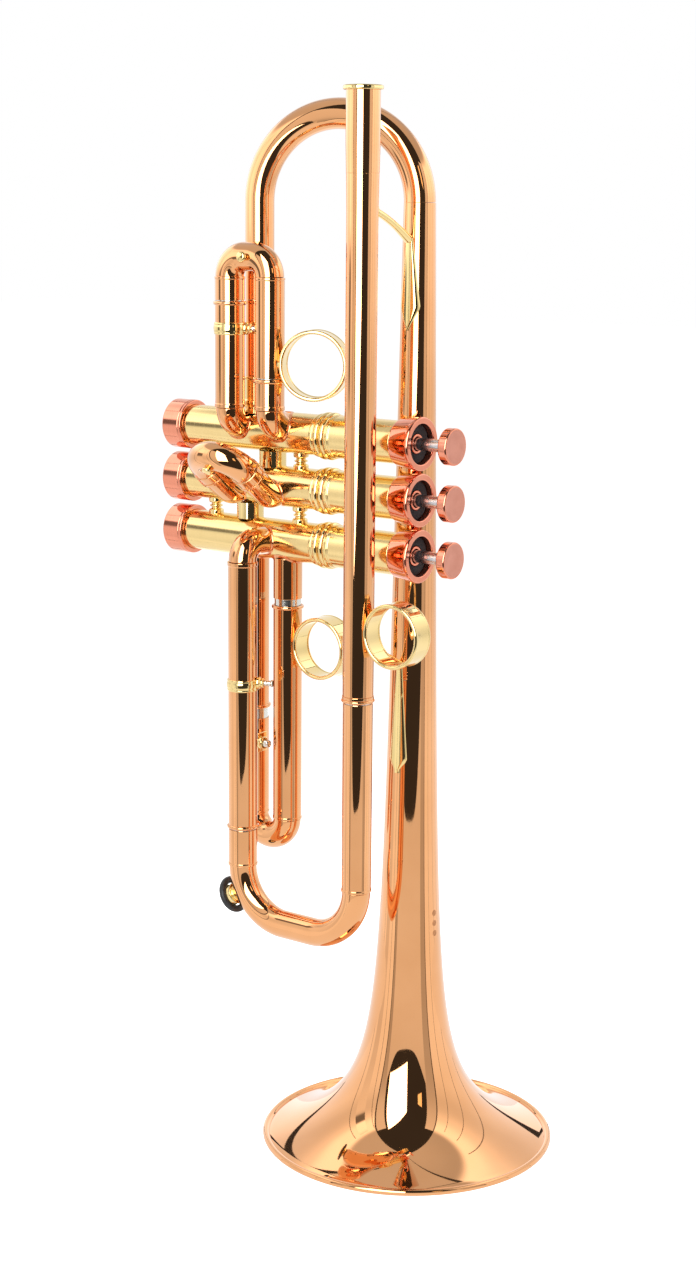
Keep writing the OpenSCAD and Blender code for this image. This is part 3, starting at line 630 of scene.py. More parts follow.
tc = [(9.3, 5.4), (10.0, 5.4), (10.35, 5.9), (11.0, 10.2), (11.7, 14.8), (11.85, 15.4), (11.85, 16.3),
    (11.5, 16.9), (9.25, 16.9), (8.85, 16.5), (8.85, 10.4), (4.4, 10.4), (4.4, 14.1), (4.1, 14.4),
    (3.45, 14.4), (3.2, 14.1), (3.2, 9.05), (9.3, 9.05)]
caps = [(rounded(tc, 0.3, 3), (0, YV, z)) for z in ZV]
turned("top_valve_caps", caps, CAP, "horn", ["top_caps"], "X", 128, slot="cap_copper")
bc = [(1.4, -122.9), (2.6, -123.2), (6.6, -123.2), (7.2, -123.7), (10.9, -123.7), (11.45, -123.1),
    (11.45, -114.4), (11.25, -114.1), (11.25, -113.7), (11.45, -113.4), (11.45, -112.8), (11.1, -112.4),
    (9.35, -112.4), (9.35, -121.9), (1.4, -121.9)]
caps = [(rounded(bc, 0.25, 3), (0, YV, z)) for z in ZV]
turned("bottom_valve_caps", caps, CAP, "horn", ["bottom_caps"], "X", 128, slot="cap_copper")
washer = pipe(4.45, 8.8, 10.5, 13.8, 0.5, 3)
turned("cap_felt_washers", [(washer, (0, YV, z)) for z in ZV], FELT, "horn", ["cap_felts"], "X", 64,
    slot="black_felt")

# ------------------------------------------------------------------ valves

for i, z in enumerate(ZV):
    b = f"valve_{i + 1}"
    bx = high(f"valve_button_{i + 1}")[0]
    pr = [(2.85, bx - 4.66), (7.4, bx - 4.66), (8.15, bx - 4.2), (8.15, bx - 0.55), (7.75, bx - 0.05),
        (7.2, bx - 0.12), (0.01, bx - 0.3), (0.01, bx - 1.3), (2.85, bx - 1.3)]
    bm = bmesh.new()
    lathe_into(bm, rounded(pr, [0.1, 0.3, 0.4, 0.3, 0.25, 0.3, 0, 0, 0], 3), (0, YV, z), "X", 128)
    weld(bm)
    # the button's flat face has a duller finish than its side
    for f in bm.faces:
        c = f.calc_center_median()
        if c.x > (bx - 0.31) * MM and math.hypot(c.y - YV * MM, c.z - z * MM) < 7.3 * MM:
            f.material_index = 1
    finish_mesh(f"finger_button_{i + 1}", bm, CAP, b, [f"valve_button_{i + 1}"], slot="cap_copper",
        mats=(CAP_FACE,))
    s0x, s1x = low(f"valve_stem_{i + 1}")[0], high(f"valve_stem_{i + 1}")[0]
    profile = [(0.01, s0x), (2.6, s0x), (2.8, s0x + 0.3), (2.8, 27.6), (2.6, 27.9), (2.6, 28.3),
        (2.8, 28.6), (2.8, s1x), (0.01, s1x)]
    lathe(f"valve_rod_{i + 1}", rounded(profile, 0.12, 2),
          (0, YV, z), "X", ALU, b, [f"valve_stem_{i + 1}"], seg=64, slot="stem_aluminium")

# return springs
for i, z in enumerate(ZV):
    s0x, s1x = low(f"valve_spring_{i + 1}")[0], high(f"valve_spring_{i + 1}")[0]
    path = []
    for k in range(145):
        t = math.radians(15 * k)
        path.append(Vector((s0x + 0.5 + (s1x - s0x - 1.0) * k / 144, YV + 5.2 * math.cos(t),
            z + 5.2 * math.sin(t))))
    wire = tube(f"valve_return_spring_{i + 1}", path, 0.48, STEEL, "horn", [f"valve_spring_{i + 1}"],
        seg=10, cut=0.1, slot="spring_steel")
    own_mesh(wire)

# ------------------------------------------------------------------ first slide

R1 = 8                  # bend of the elbows
ez = ZV[0] + 3.2 + R1   # where they meet the sleeves
bm = bmesh.new()
for x in (FXL, FXR):
    path = arc_pts((x, F1 + R1, ez), (0, -1, 0), (0, 0, -1), R1, 0, 90, 22)
    path[0] = Vector((x, F1, ez))
    path.append(Vector((x, F1 + R1 + 3, ez - R1)))
    pts, rad = soft_ends(path, BEND, 0.2)
    sweep_into(bm, pts, rad, 64)
finish_mesh("first_slide_elbows", bm, COPPER, "horn", ["first_elbows"], slot="copper_lacquer")
for k, x in enumerate((FXL, FXR)):
    seam(f"first_slide_solder_{k + 1}", (x, YV, ez - R1), (0, -1, 0), BEND, (YV, ZV[0]), CR, COPPER_RED,
        "horn", 0.9)
turned("first_slide_sleeves", (
    (sleeve(ez, 389.9, 1.6), (FXL, F1, 0)),
    (sleeve(ez, 356.2, 1.6, 6.3), (FXR, F1, 0)),
), COPPER, "horn", [], slot="copper_lacquer")
lathe("first_slide_guide", pipe(GUIDE_IN, GUIDE, ez, 398, 0.1), (FXR, F1, 0), "Z", NICKEL, "horn",
    ["first_fixed_tubes"], slot="nickel_silver")

path = u_path((FXL, F1, FZ), (FXR, F1, FZ), (0, 0, 1), 8.9)
tube("first_slide_bow", path, BOW, COPPER, "first_slide", ["first_bow"], seg=72, slot="copper_lacquer")
KNOB = [(0.01, -1.5), (1.5, -1.5), (1.5, 0.6), (1.3, 0.9), (1.6, 1.2), (2.2, 1.6), (2.5, 2.3),
    (2.4, 2.9), (1.9, 3.4), (0.01, 3.8)]
kx = -66.4
lathe("first_slide_pull_knob", rounded(KNOB, 0.3, 3, closed=False), (kx, F1 - 5.7, FZ + 8.9), "Y",
    BRASS, "first_slide", seg=48, closed=False, slot="brass_polished")
turned("first_slide_legs", (
    (sleeve(FZ, 390.5, 1.0, 6.3), (FXL, F1, 0)),
    (sleeve(FZ, 356.8, 1.0), (FXR, F1, 0)),
), COPPER, "first_slide", [], slot="copper_lacquer")
lathe("first_slide_inner", pipe(GUIDE_IN, GUIDE, 346, FZ, 0.1), (FXL, F1, 0), "Z", NICKEL,
    "first_slide", ["first_moving_tubes"], slot="nickel_silver")


def band_ring(name, c, ro, ri, width, mat, body, node, turn=0.0):
    """Finger ring: thin band with a rolled bead at each rim."""
    pts = []
    mid, hw, rb = (ro + ri) / 2, width / 2 + 0.05, 0.92
    for a in range(-40, 221, 13):
        pts.append((mid + rb * math.cos(math.radians(a)), hw + rb * math.sin(math.radians(a))))
    pts += [(ri - 0.1, hw - 0.8), (ri - 0.1, hw - 1.1), (ri - 0.1, -hw + 1.1), (ri - 0.1, -hw + 0.8)]
    for a in range(140, 401, 13):
        pts.append((mid + rb * math.cos(math.radians(a)), -hw + rb * math.sin(math.radians(a))))
    pts += [(ro + 0.15, -hw + 0.8), (ro + 0.15, -hw + 1.1), (ro + 0.15, hw - 1.1), (ro + 0.15, hw - 0.8)]
    rot = Matrix.Rotation(turn, 3, "Z") @ AXES["Y"]
    bm = bmesh.new()
    lathe_into(bm, pts, c, rot, 128)
    weld(bm)
    return finish_mesh(name, bm, mat, body, [node], slot="brass_polished", angle=50)


band_ring("thumb_ring_band", (-34.6, F1 + 4.6, 363.2), 15.3, 14.3, 7.4, BRASS, "first_slide",
    "thumb_ring", math.radians(21))
bm = bmesh.new()
sweep_into(bm, line((-50.7, F1 - 0.9, 363.2), (-48.5, F1 - 0.9, 363.2), 4), [1.9, 1.6, 1.6, 1.8], 32)
finish_mesh("thumb_ring_foot", bm, BRASS, "first_slide", slot="brass_polished")

# clamps that carry a thumb screw, and the way their screws point
TURN = Matrix.Rotation(math.radians(25), 3, "Z") @ AXES["X"]
CLAMP_MID = 2.7


def leg_clamp(name, at, rise, node):
    """Band round a slide leg, with the boss of its thumb screw."""
    bm = bmesh.new()
    band = [(6.7, 0.0), (7.0, 0.0), (7.25, 0.5), (7.15, 1.0), (7.4, 1.9), (7.4, 3.5), (7.15, 4.4),
        (7.25, 4.9), (7.0, 5.4), (6.7, 5.4)]
    lathe_into(bm, rounded(band, 0.25, 3), at, "Z", 96)
    boss = [(0.01, 6.9), (2.85, 6.9), (2.85, 7.9), (2.5, 8.3), (2.1, 8.7), (2.3, 9.1), (2.3, 9.6),
        (1.8, 10.0), (0.01, 10.0)]
    lathe_into(bm, rounded(boss, 0.2, 3, closed=False), (at[0], at[1], at[2] + CLAMP_MID + rise), TURN,
        48, closed=False)
    weld(bm)
    return finish_mesh(name, bm, BRASS, "horn", [node], slot="brass_polished")


# where each clamp stands and how far its screw sits above the clamp's middle
CLAMPS = (((FXL, F1, 375.2), 0.0), ((WX, LY, 214.4), 0.9))
leg_clamp("first_leg_clamp", *CLAMPS[0], "first_clamp")
leg_clamp("lower_leg_clamp", *CLAMPS[1], "leg_clamp_band")
bm = bmesh.new()
for at, rise in CLAMPS:
    scr = [(0.01, 9.7), (1.0, 9.7), (1.0, 10.2), (1.3, 10.4), (1.3, 11.3), (1.1, 11.5), (1.1, 11.8),
        (1.3, 12.0), (1.3, 13.1), (1.5, 13.4), (1.75, 13.6), (1.75, 14.0), (1.5, 14.2), (0.01, 14.2)]
    lathe_into(bm, rounded(scr, 0.12, 2, closed=False), (at[0], at[1], at[2] + CLAMP_MID + rise), TURN,
        40, closed=False)
weld(bm)
finish_mesh("clamp_thumb_screws", bm, NICKEL, "horn", ["clamp_screws"], slot="nickel_silver")

# ------------------------------------------------------------------ second slide

SJ = Vector((0, -42.87, 312.6))   # where the second slide parts from its legs
REACH = 12.6                      # straight part of each leg
LEG_BEND = 7.6
LEG = 6.2
D2 = Vector((0, -math.cos(TILT), math.sin(TILT)))
bm = bmesh.new()
for x in (SXL, SXR):
    j = Vector((x, SJ.y, SJ.z))
    up = Vector((0, math.sin(TILT), math.cos(TILT)))
    leg_end = j - D2 * REACH
    bend = arc_pts(leg_end + up * LEG_BEND, -up, -D2, LEG_BEND, 0, 36, 12)
    tail = bend[-1] + Vector((0, 7, 0))
    sweep_into(bm, [j + D2 * 6, j, leg_end] + bend[1:] + [tail], [LEG] * (3 + 12 + 1), 64)
finish_mesh("second_slide_legs", bm, COPPER, "horn", ["second_legs"], slot="copper_lacquer")
for k, x in enumerate((SXL, SXR)):
    zs = SJ.z - REACH * math.sin(TILT) - LEG_BEND * (1 - math.cos(TILT))
    seam(f"second_slide_solder_{k + 1}", (x, YV, zs), (0, -1, 0), LEG, (YV, ZV[1]), CR, COPPER_RED,
        "horn", 0.8)
a = Vector((SXL, SJ.y, SJ.z)) + D2 * 6.5
b2 = Vector((SXR, SJ.y, SJ.z)) + D2 * 6.5
tube("second_slide_bow", u_path(a, b2, D2, (SXR - SXL) / 2), BOW, COPPER, "second_slide",
    ["second_bow"], seg=72, slot="copper_lacquer")
rot2 = Matrix.Rotation(math.pi / 2 - TILT, 3, "X")
ferrule = rounded([(6.25, 0), (FERRULE, 0), (FERRULE, 1.3), (6.6, 1.45), (6.6, 1.7), (6.95, 1.85),
    (6.9, 6.1), (6.6, 6.25), (6.6, 6.4), (6.25, 6.5)], 0.12, 3)
turned("second_slide_ferrules", [(ferrule, (x, SJ.y, SJ.z)) for x in (SXL, SXR)], COPPER,
    "second_slide", (), rot2, 72, slot="copper_lacquer")
nrm = Vector((0, math.sin(TILT), math.cos(TILT)))
kp = Vector(((SXL + SXR) / 2 + 1.1, SJ.y, SJ.z)) + D2 * 17.5
kp = kp - nrm * 5.4
rk = Matrix.Rotation(math.pi / 2 - TILT, 3, "X") @ Matrix.Rotation(math.pi / 2, 3, "X")
lathe("second_slide_pull_knob", rounded(KNOB, 0.3, 3, closed=False), kp, rk, BRASS, "second_slide",
    seg=48, closed=False, slot="brass_polished")

# ------------------------------------------------------------------ third slide

turned("third_slide_sleeves", (
    (pipe(SLEEVE_IN, SLEEVE, 201, 274), (TXL, YV, 0)),
    (pipe(SLEEVE_IN, SLEEVE, 255.1, 274), (TXR, YV, 0)),
), COPPER, "horn", ["third_fixed_tubes"], slot="copper_lacquer")
for k, x in enumerate((TXL, TXR)):
    seam(f"third_slide_solder_{k + 1}", (x, YV, ZV[2]), (0, 0, -1), SLEEVE, (YV, ZV[2]), CR, COPPER_RED,
        "horn", 0.9)
lathe("third_slide_guide", pipe(GUIDE_IN, GUIDE, 153, 268, 0.1), (TXR, YV, 0), "Z", NICKEL, "horn",
    ["third_inner_tube"], slot="nickel_silver")
tube("third_slide_bow", u_path((TXL, YV, TZ), (TXR, YV, TZ), (0, 0, -1), (TXR - TXL) / 2), BOW, COPPER,
    "third_slide", ["third_bow"], seg=72, slot="copper_lacquer")
turned("third_slide_legs", (
    (sleeve(TZ, 251.6, 1), (TXR, YV, 0)),
    (ring_prof(250.3, 251.9, 6.7, COLLAR), (TXR, YV, 0)),
    (sleeve(TZ, 196.1, 1), (TXL, YV, 0)),
), COPPER, "third_slide", slot="copper_lacquer")
lathe("third_slide_inner", pipe(GUIDE_IN, GUIDE, TZ, 260, 0.1), (TXL, YV, 0), "Z", NICKEL,
    "third_slide", ["third_moving_tubes"], slot="nickel_silver")
band_ring("finger_ring_band", (-36.2, YV, 234.4), 14.0, 12.9, 9.2, BRASS, "third_slide", "finger_ring")
bm = bmesh.new()
yk, zk = YV - 6.9, 186.0   # the drain key's axis
profile = [(2.05, -72.5), (3.05, -72.5), (3.05, -68.6), (2.6, -68.2), (2.6, -67.4), (3.1, -67.0),
    (3.1, -65.9), (2.7, -65.3), (2.05, -65.3)]
lathe_into(bm, rounded(profile, 0.2, 3), (0, yk, zk), "X", 56)
profile = [(0.01, -72.4), (2.1, -72.4), (2.1, -67.5), (0.01, -67.5)]
lathe_into(bm, rounded(profile, 0.1, 1), (0, yk, zk), "X", 48)
# the block between barrel and slide, with waisted sides and softened edges
out = [(-3.0, -4.6), (3.0, -4.6), (3.15, -1.6), (2.4, 0.0), (3.15, 1.6), (3.0, 4.6), (-3.0, 4.6),
    (-3.15, 0.0)]
out = rounded(out, 0.5, 3)
layers = [(-21.7, 1.0), (-28.0, 1.0), (-28.35, 0.94), (-28.5, 0.84)]
loops = [[bm.verts.new(Vector((-71.0 + x * k, y, zk + z * k)) * MM) for x, z in out] for y, k in layers]
for p, q in zip(loops, loops[1:]):
    for i in range(len(out)):
        j = (i + 1) % len(out)
        bm.faces.new((p[i], p[j], q[j], q[i]))
bm.faces.new(loops[0])
bm.faces.new(loops[-1])
weld(bm)
finish_mesh("third_key_barrel", bm, BRASS, "third_slide", ["third_key_body"], slot="brass_polished")
profile = [(0.01, -65.9), (1.85, -65.9), (1.85, -63.1), (1.5, -62.6), (1.1, -62.55), (0.9, -62.8),
    (0.01, -62.8)]
lathe("third_key_button", rounded(profile, 0.15, 3, closed=False), (0, yk, zk), "X", NICKEL,
    "third_drain_button", ["third_key_plunger"], seg=48, closed=False, slot="nickel_silver")

# ------------------------------------------------------------------ tuning slide

tube("tuning_slide_bow", u_path((WX, LY, TUN), (LX, LY, TUN), (0, 0, -1), TUNING_R, 30), BOW, COPPER,
    "tuning_slide", ["tuning_bow"], seg=80, slot="copper_lacquer")
turned("tuning_slide_legs", (
    (sleeve(TUN, 217.8, 1.1, lip=6.95), (LX, LY, 0)),
    (sleeve(TUN, 148.6, 1.1, lip=6.95), (WX, LY, 0)),
), COPPER, "tuning_slide", ["tuning_sleeves"], slot="copper_lacquer")
# drain key
KC = Vector((WX + TUNING_R, LY, TUN))
rotk = Matrix.Rotation(math.radians(-118), 3, "Y")
KS = [(0.01, 4.0), (5.0, 4.0), (4.2, 5.6), (3.7, 6.4), (3.9, 7.0), (5.2, 7.1), (5.3, 7.6), (4.2, 8.5),
    (4.1, 10.6), (5.1, 11.3), (5.25, 11.8), (5.0, 12.3), (4.2, 12.6), (3.2, 12.7), (2.9, 12.2),
    (0.01, 12.0)]
bm = bmesh.new()
lathe_into(bm, [(r, h + TUNING_R) for r, h in rounded(KS, 0.25, 3, closed=False)], KC, rotk, 72,
    closed=False)
weld(bm)
finish_mesh("drain_key_seat", bm, BRASS, "tuning_slide", ["water_key_seat"], slot="brass_polished")
bm = bmesh.new()
turns = [math.radians(a) for a in range(0, 360, 18)]
lathe_into(bm, [(7.1 + 1.65 * math.cos(t), TUNING_R + 9.6 + 1.65 * math.sin(t)) for t in turns], KC,
    rotk, 96)
weld(bm)
finish_mesh("drain_key_rubber", bm, RUBBER, "drain_ring", ["water_key_ring"], slot="black_rubber")

# ------------------------------------------------------------------ braces and little-finger ring

band_ring("pinky_ring_band", (20.3, LY, 250.6), 14.0, 12.9, 9.2, BRASS, "horn", "pinky_ring")


def saddle(name, zlo, outline, node, rod_a, rod_b, foot):
    """Kite-shaped plate wrapped on the bell tail, with the rod that ties it to the leadpipe."""
    bm = bmesh.new()
    rows = 30
    cols = 10
    zs = [p[1] for p in outline]
    z0, z1 = zlo + min(zs), zlo + max(zs)
    right = sorted([p for p in outline if p[0] >= 0], key=lambda p: p[1])

    def half(z):
        for a, b in zip(right, right[1:]):
            if a[1] <= z <= b[1]:
                t = (z - a[1]) / max(b[1] - a[1], 1e-6)
                return a[0] + (b[0] - a[0]) * t
        return right[-1][0]

    grid_o, grid_i = [], []
    for i in range(rows + 1):
        z = z0 + (z1 - z0) * i / rows
        hw = max(half(z - zlo), 0.12)
        ro, ri = [], []
        for j in range(cols + 1):
            u = -1 + 2 * j / cols
            x = hw * u
            edge = min(1.0, (1 - abs(u)) * hw / 0.5)
            th = 0.25 + 0.6 * math.sqrt(edge)
            rb = bell_r(z)
            for lst, rr in ((ro, rb + th), (ri, rb - 0.1)):
                ang = math.asin(max(-1, min(1, x / rr)))
                lst.append(bm.verts.new(Vector((rr * math.sin(ang), -rr * math.cos(ang), z)) * MM))
        grid_o.append(ro)
        grid_i.append(ri)
    for i in range(rows):
        for j in range(cols):
            bm.faces.new((grid_o[i][j], grid_o[i][j + 1], grid_o[i + 1][j + 1], grid_o[i + 1][j]))
        for j in (0, cols):
            bm.faces.new((grid_o[i][j], grid_o[i + 1][j], grid_i[i + 1][j], grid_i[i][j]))
    for i in (0, rows):
        for j in range(cols):
            bm.faces.new((grid_o[i][j], grid_o[i][j + 1], grid_i[i][j + 1], grid_i[i][j]))
    a, b = Vector(rod_a), Vector(rod_b)
    n = 14
    pts = []
    for i in range(n + 1):
        t = i / n
        p = a.lerp(b, t)
        p.z += 1.2 * math.sin(math.pi * t)
        pts.append(p)
    # the rod is thicker where it leaves the plate
    sweep_into(bm, pts, [2.0 - 0.45 * min(1, t * 3.0 / n) if t < n / 3 else 1.55 for t in range(n + 1)], 32)
    profile = [(0.01, 0), (1.7, 0), (2.6, 0.9), (3.3, 1.6), (3.3, 2.6), (0.01, 2.6)]
    lathe_into(bm, rounded(profile, 0.3, 3), foot, AXES["Y"], 48)
    weld(bm)
    return finish_mesh(name, bm, BRASS, "horn", [node], slot="brass_polished", angle=45)


saddle("upper_brace_plate", 378, [(0.3, 1), (5.2, 11), (1.7, 41)], "upper_brace", (0, -8.6, 418.5),
    (0, -35.6, 431.4), (0, LY + 9.1, 431.2))
saddle("lower_brace_plate", 178.5, [(0, 1.2), (4.7, 7), (1.5, 50)], "lower_brace", (0, -11.0, 229.5),
    (0, -35.6, 241.0), (0, LY + 9.1, 240.8))

# ------------------------------------------------------------------ CAD nodes that keep their meshes

KEEP = {
    "bell_rim_wire": STEEL, "leadpipe_slide_tube": NICKEL, "valve_guides": BRASS,
    "piston_1": PISTON, "piston_2": PISTON, "piston_3": PISTON,
    "tuning_inner_tube": NICKEL, "second_inner_tubes": NICKEL,
}
for n, m in KEEP.items():
    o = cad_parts[n]
    o.data.materials.clear()
    o.data.materials.append(m)

# ------------------------------------------------------------------ floor, light and camera

AZ = math.radians(34.80457)      # the camera's place round the bell's axis
YAW = math.radians(1.764)        # and how far it turns aside, down and over from there
PITCH = math.radians(11.525)
ROLL = math.radians(0.477)
CAM_R, CAM_Z = 0.967568, 0.436327
LENS = 61.1465625                # mm, with 36 mm along the picture's longer side
me = bpy.data.meshes.new("floor")
me.from_pydata([(-6, -6, 0), (6, -6, 0), (6, 6, 0), (-6, 6, 0)], [], [(0, 1, 2, 3)])
floor = bpy.data.objects.new("studio_floor", me)
bpy.context.scene.collection.objects.link(floor)
floor.location.z = -0.0002
m, nt, b = mat_new("floor_white")
b.inputs["Base Color"].default_value = (0.9, 0.9, 0.9, 1)
b.inputs["Roughness"].default_value = 0.6
b.inputs["Specular IOR Level"].default_value = 0.1
b.inputs["Emission Color"].default_value = (1, 1, 1, 1)
b.inputs["Emission Strength"].default_value = 1.0
me.materials.append(m)

cam_d = bpy.data.cameras.new("camera")
cam = bpy.data.objects.new("camera", cam_d)
bpy.context.scene.collection.objects.link(cam)
a2 = AZ + YAW
fwd = Vector((-math.sin(a2) * math.cos(PITCH), math.cos(a2) * math.cos(PITCH), -math.sin(PITCH)))
rgt = Vector((math.cos(a2), math.sin(a2), 0))
upv = rgt.cross(fwd)
r2 = rgt * math.cos(ROLL) + upv * math.sin(ROLL)
u2 = -rgt * math.sin(ROLL) + upv * math.cos(ROLL)
cam.matrix_world = Matrix((
    (r2.x, u2.x, -fwd.x, math.sin(AZ) * CAM_R),
    (r2.y, u2.y, -fwd.y, -math.cos(AZ) * CAM_R),
    (r2.z, u2.z, -fwd.z, CAM_Z),
    (0, 0, 0, 1)))
cam_d.sensor_width = 36
cam_d.sensor_fit = "AUTO"
cam_d.lens = LENS
cam_d.clip_start = 0.05
cam_d.clip_end = 50
bpy.context.scene.camera = cam
bpy.context.scene.view_settings.view_transform = "Standard"

# Studio: a white light tent, open towards the viewer, with a tall soft box beside the opening.
cf = Vector((math.sin(a2), -math.cos(a2), 0))
cr = Vector((math.cos(a2), math.sin(a2), 0))


def hidden(ob):
    """Stage piece that only reflections see."""
    ob.visible_camera = False
    ob.visible_shadow = False
    return ob


def glow(name, stops, col=(1, 1, 1)):
    """Light cloth: strength follows the height above the table."""
    m = bpy.data.materials.new(name)
    m.use_nodes = True
    nt = m.node_tree
    nt.nodes.clear()
    out = nt.nodes.new("ShaderNodeOutputMaterial")
    em = nt.nodes.new("ShaderNodeEmission")
    em.inputs[0].default_value = (*col, 1)
    if len(stops) == 1:
        em.inputs[1].default_value = stops[0][1]
    else:
        tc = nt.nodes.new("ShaderNodeTexCoord")
        sp = nt.nodes.new("ShaderNodeSeparateXYZ")
        nt.links.new(tc.outputs["Object"], sp.inputs[0])
        r = nt.nodes.new("ShaderNodeFloatCurve")
        cv = r.mapping.curves[0]
        top = 2.0
        for i, (h, v) in enumerate(stops):
            if i < 2:
                cv.points[i].location = (h, v / top)
            else:
                cv.points.new(h, v / top)
        for p in cv.points:
            p.handle_type = "AUTO_CLAMPED"
        r.mapping.update()
        nt.links.new(sp.outputs[2], r.inputs["Value"])
        mul = nt.nodes.new("ShaderNodeMath")
        mul.operation = "MULTIPLY"
        mul.inputs[1].default_value = top
        nt.links.new(r.outputs[0], mul.inputs[0])
        nt.links.new(mul.outputs[0], em.inputs[1])
    nt.links.new(em.outputs[0], out.inputs[0])
    return m


TENT_R = 0.38      # m, as are the next three
WALL_H = 0.6       # height where the roof starts
ROOF_H = 0.22      # and the height the roof adds
ROOF_SPAN = 0.32   # over which panel heights above WALL_H are spread along the roof


def tent_point(phi, h, R=TENT_R):
    """Point on the tent, phi degrees round from the camera; above WALL_H it curves in to make the roof."""
    a = math.radians(phi)
    if h > WALL_H:
        u = min((h - WALL_H) / ROOF_SPAN * math.pi / 2, math.pi / 2)
        R, h = R * math.cos(u) + 0.0005, WALL_H + ROOF_H * math.sin(u)
    v = cf * (R * math.cos(a)) + cr * (R * math.sin(a))
    return Vector((v.x, v.y, h))


def tent_panel(name, left, right, h0, h1, mat, n=24, m=24, R=TENT_R, high=None):
    """left and right give the angle of the panel's edges at each height; high shapes its upper edge."""
    vs, fs = [], []
    for j in range(m + 1):
        for i in range(n + 1):
            u = i / n
            h = h0 + ((h1 if high is None else high(u)) - h0) * j / m
            a, b = left(h), right(h)
            vs.append(tent_point(a + (b - a) * u, h, R))
    for j in range(m):
        for i in range(n):
            k = j * (n + 1) + i
            fs.append((k, k + 1, k + n + 2, k + n + 1))
    me = bpy.data.meshes.new(name)
    me.from_pydata(vs, [], fs)
    me.materials.append(mat)
    ob = bpy.data.objects.new(name, me)
    bpy.context.scene.collection.objects.link(ob)
    return hidden(ob)


def flat(v):
    """Panel edge at the same angle at every height."""
    return lambda h: v


def lean(a, b):
    """Panel edge that goes from angle a at the table to angle b at the roof."""
    return lambda h: a + (b - a) * min(h / WALL_H, 1.0)


wall = glow("tent_side", [(0.0, 1.12), (0.12, 1.12), (0.19, 1.02), (0.26, 0.92), (0.38, 1.20),
    (0.50, 1.75), (0.60, 1.75), (0.68, 0.7), (0.82, 0.7)])
wall_r = glow("tent_side_right", [(0.0, 1.12), (0.10, 1.10), (0.18, 1.0), (0.25, 0.92), (0.40, 1.20),
    (0.62, 1.70), (0.70, 0.6), (0.82, 0.7)])
back = glow("tent_back", [(0.0, 1.35), (0.12, 1.3), (0.21, 1.06), (0.30, 1.0), (0.62, 0.95),
    (0.70, 0.7), (0.82, 0.7)])
edge_l = glow("tent_flap_left", [(0.0, 0.50), (0.15, 0.62), (0.30, 0.86), (0.60, 0.95)])
edge_r = glow("tent_flap_right", [(0.0, 0.55), (0.15, 0.62), (0.40, 0.85), (0.60, 0.95)])
lip = glow("tent_lip", [(0.0, 0.92), (0.09, 0.84)])
poles = glow("tent_pole", [(0.0, 0.09)])
tent_panel("tent_left", flat(-145), lean(-54.5, -66), 0, 0.92, wall)
tent_panel("tent_flap_l", lean(-53, -63), lean(-43.5, -45), 0, 0.66, edge_l)
tent_panel("tent_flap_r", lean(36, 37), flat(54), 0, 0.66, edge_r)
tent_panel("tent_right", flat(56), flat(148), 0, 0.92, wall_r)
tent_panel("tent_rear", flat(150), flat(213), 0, 0.92, back)


def lip_top(u):
    """Upper edge of the light lip below the tent's opening: level in the middle, rising at both ends."""
    # the level part lies 12 degrees left of the camera
    phi = -46 + 84 * u + 12
    return 0.073 + 0.075 * ((phi / 46) ** 4.5 if phi > 0 else (-phi / 32) ** 4.5)


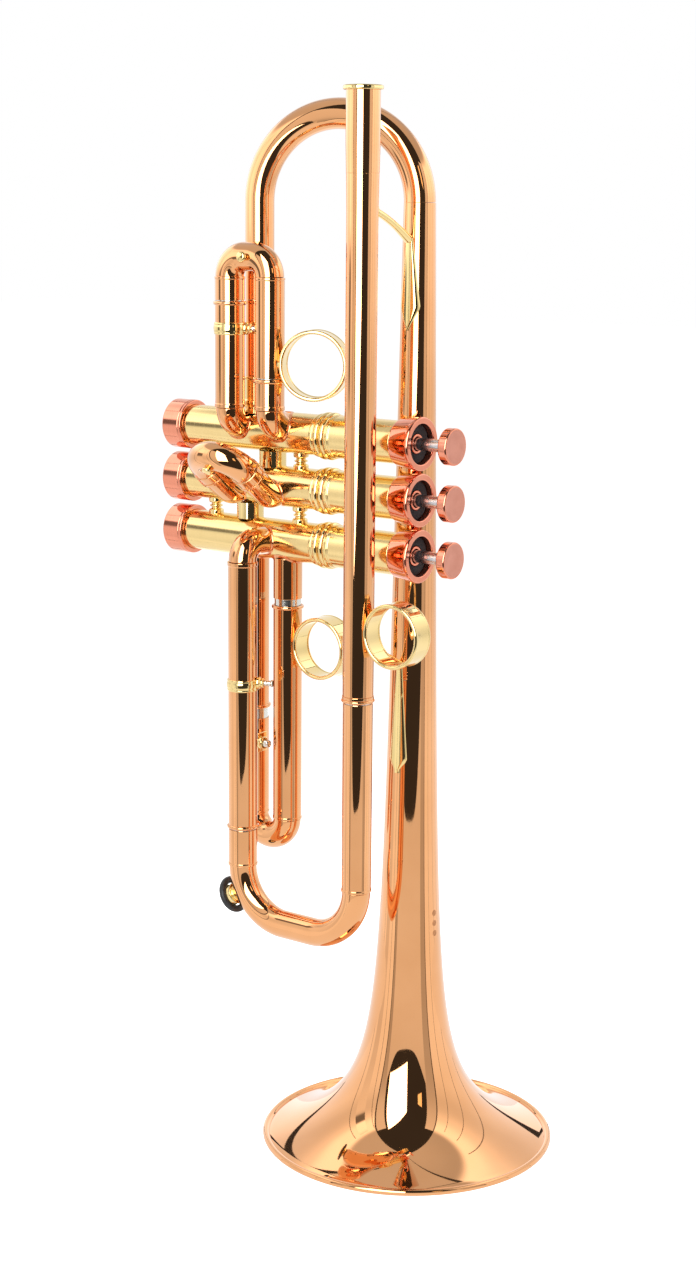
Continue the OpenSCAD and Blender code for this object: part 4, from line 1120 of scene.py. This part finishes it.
tent_panel("tent_front_lip", flat(-46), flat(38), 0, 0.088, lip, n=48, m=4, high=lip_top)
fold = glow("tent_fold", [(0.0, 0.85), (0.26, 1.05), (0.305, 0.9), (0.345, 0.22), (0.385, 0.22),
    (0.43, 1.9), (0.50, 1.9), (0.60, 1.4)])
tent_panel("tent_left_fold", flat(-94), flat(-79), 0, 0.6, fold, m=60, R=0.3785)
streak = glow("tent_streak", [(0.0, 0.25)])
for k, phi in enumerate((-103, -67.5, 74, 98, 121)):
    tent_panel(f"tent_seam_{k + 1}", flat(phi), flat(phi + 0.9), 0, 0.6, streak, n=2, R=0.379)
tent_panel("pole_l", lean(-54.5, -66), lean(-53, -63), 0, 0.66, poles, n=2, R=0.381)
tent_panel("pole_r", flat(54), flat(56), 0, 0.66, poles, n=2, R=0.381)


def quad(name, pts, mat):
    me = bpy.data.meshes.new(name)
    me.from_pydata([cr * p[0] + cf * p[1] + Vector((0, 0, p[2])) for p in pts], [], [(0, 1, 2, 3)])
    me.materials.append(mat)
    ob = bpy.data.objects.new(name, me)
    bpy.context.scene.collection.objects.link(ob)
    return hidden(ob)


quad("tall_soft_box", [(-0.37, 0.456, 0.18), (-0.06, 1.69, 0.31), (-0.06, 1.69, 1.85),
    (-0.40, 0.44, 1.2)], glow("soft_box", [(0.0, 6.0)]))
quad("small_warm_lamp", [(0.40, 1.1, 0.70), (0.52, 1.0, 0.62), (0.52, 1.0, 1.0), (0.40, 1.1, 0.95)],
    glow("warm_lamp", [(0.0, 1.6)], (1.0, 0.82, 0.5)))

# the table under the tent, seen only in reflections
me = bpy.data.meshes.new("tent_table")
N = 72
edge = [tuple(tent_point(360 * i / N, -0.0001, 0.382)) for i in range(N)]
me.from_pydata([(0, 0, 0)] + edge, [], [(0, i + 1, (i + 1) % N + 1) for i in range(N)])
me.materials.append(glow("table_cloth", [(0.0, 1.05)]))
ob = bpy.data.objects.new("tent_table", me)
bpy.context.scene.collection.objects.link(ob)
hidden(ob)
floor.visible_glossy = False

world = bpy.data.worlds.new("studio")
bpy.context.scene.world = world
world.use_nodes = True
nt = world.node_tree
nt.nodes.clear()
out = nt.nodes.new("ShaderNodeOutputWorld")
bg = nt.nodes.new("ShaderNodeBackground")
bg.inputs[0].default_value = (1, 1, 1, 1)
lp = nt.nodes.new("ShaderNodeLightPath")
rm = nt.nodes.new("ShaderNodeMapRange")
rm.inputs[3].default_value = 0.045
rm.inputs[4].default_value = 1.0
nt.links.new(lp.outputs["Is Camera Ray"], rm.inputs[0])
nt.links.new(rm.outputs[0], bg.inputs[1])
nt.links.new(bg.outputs[0], out.inputs[0])
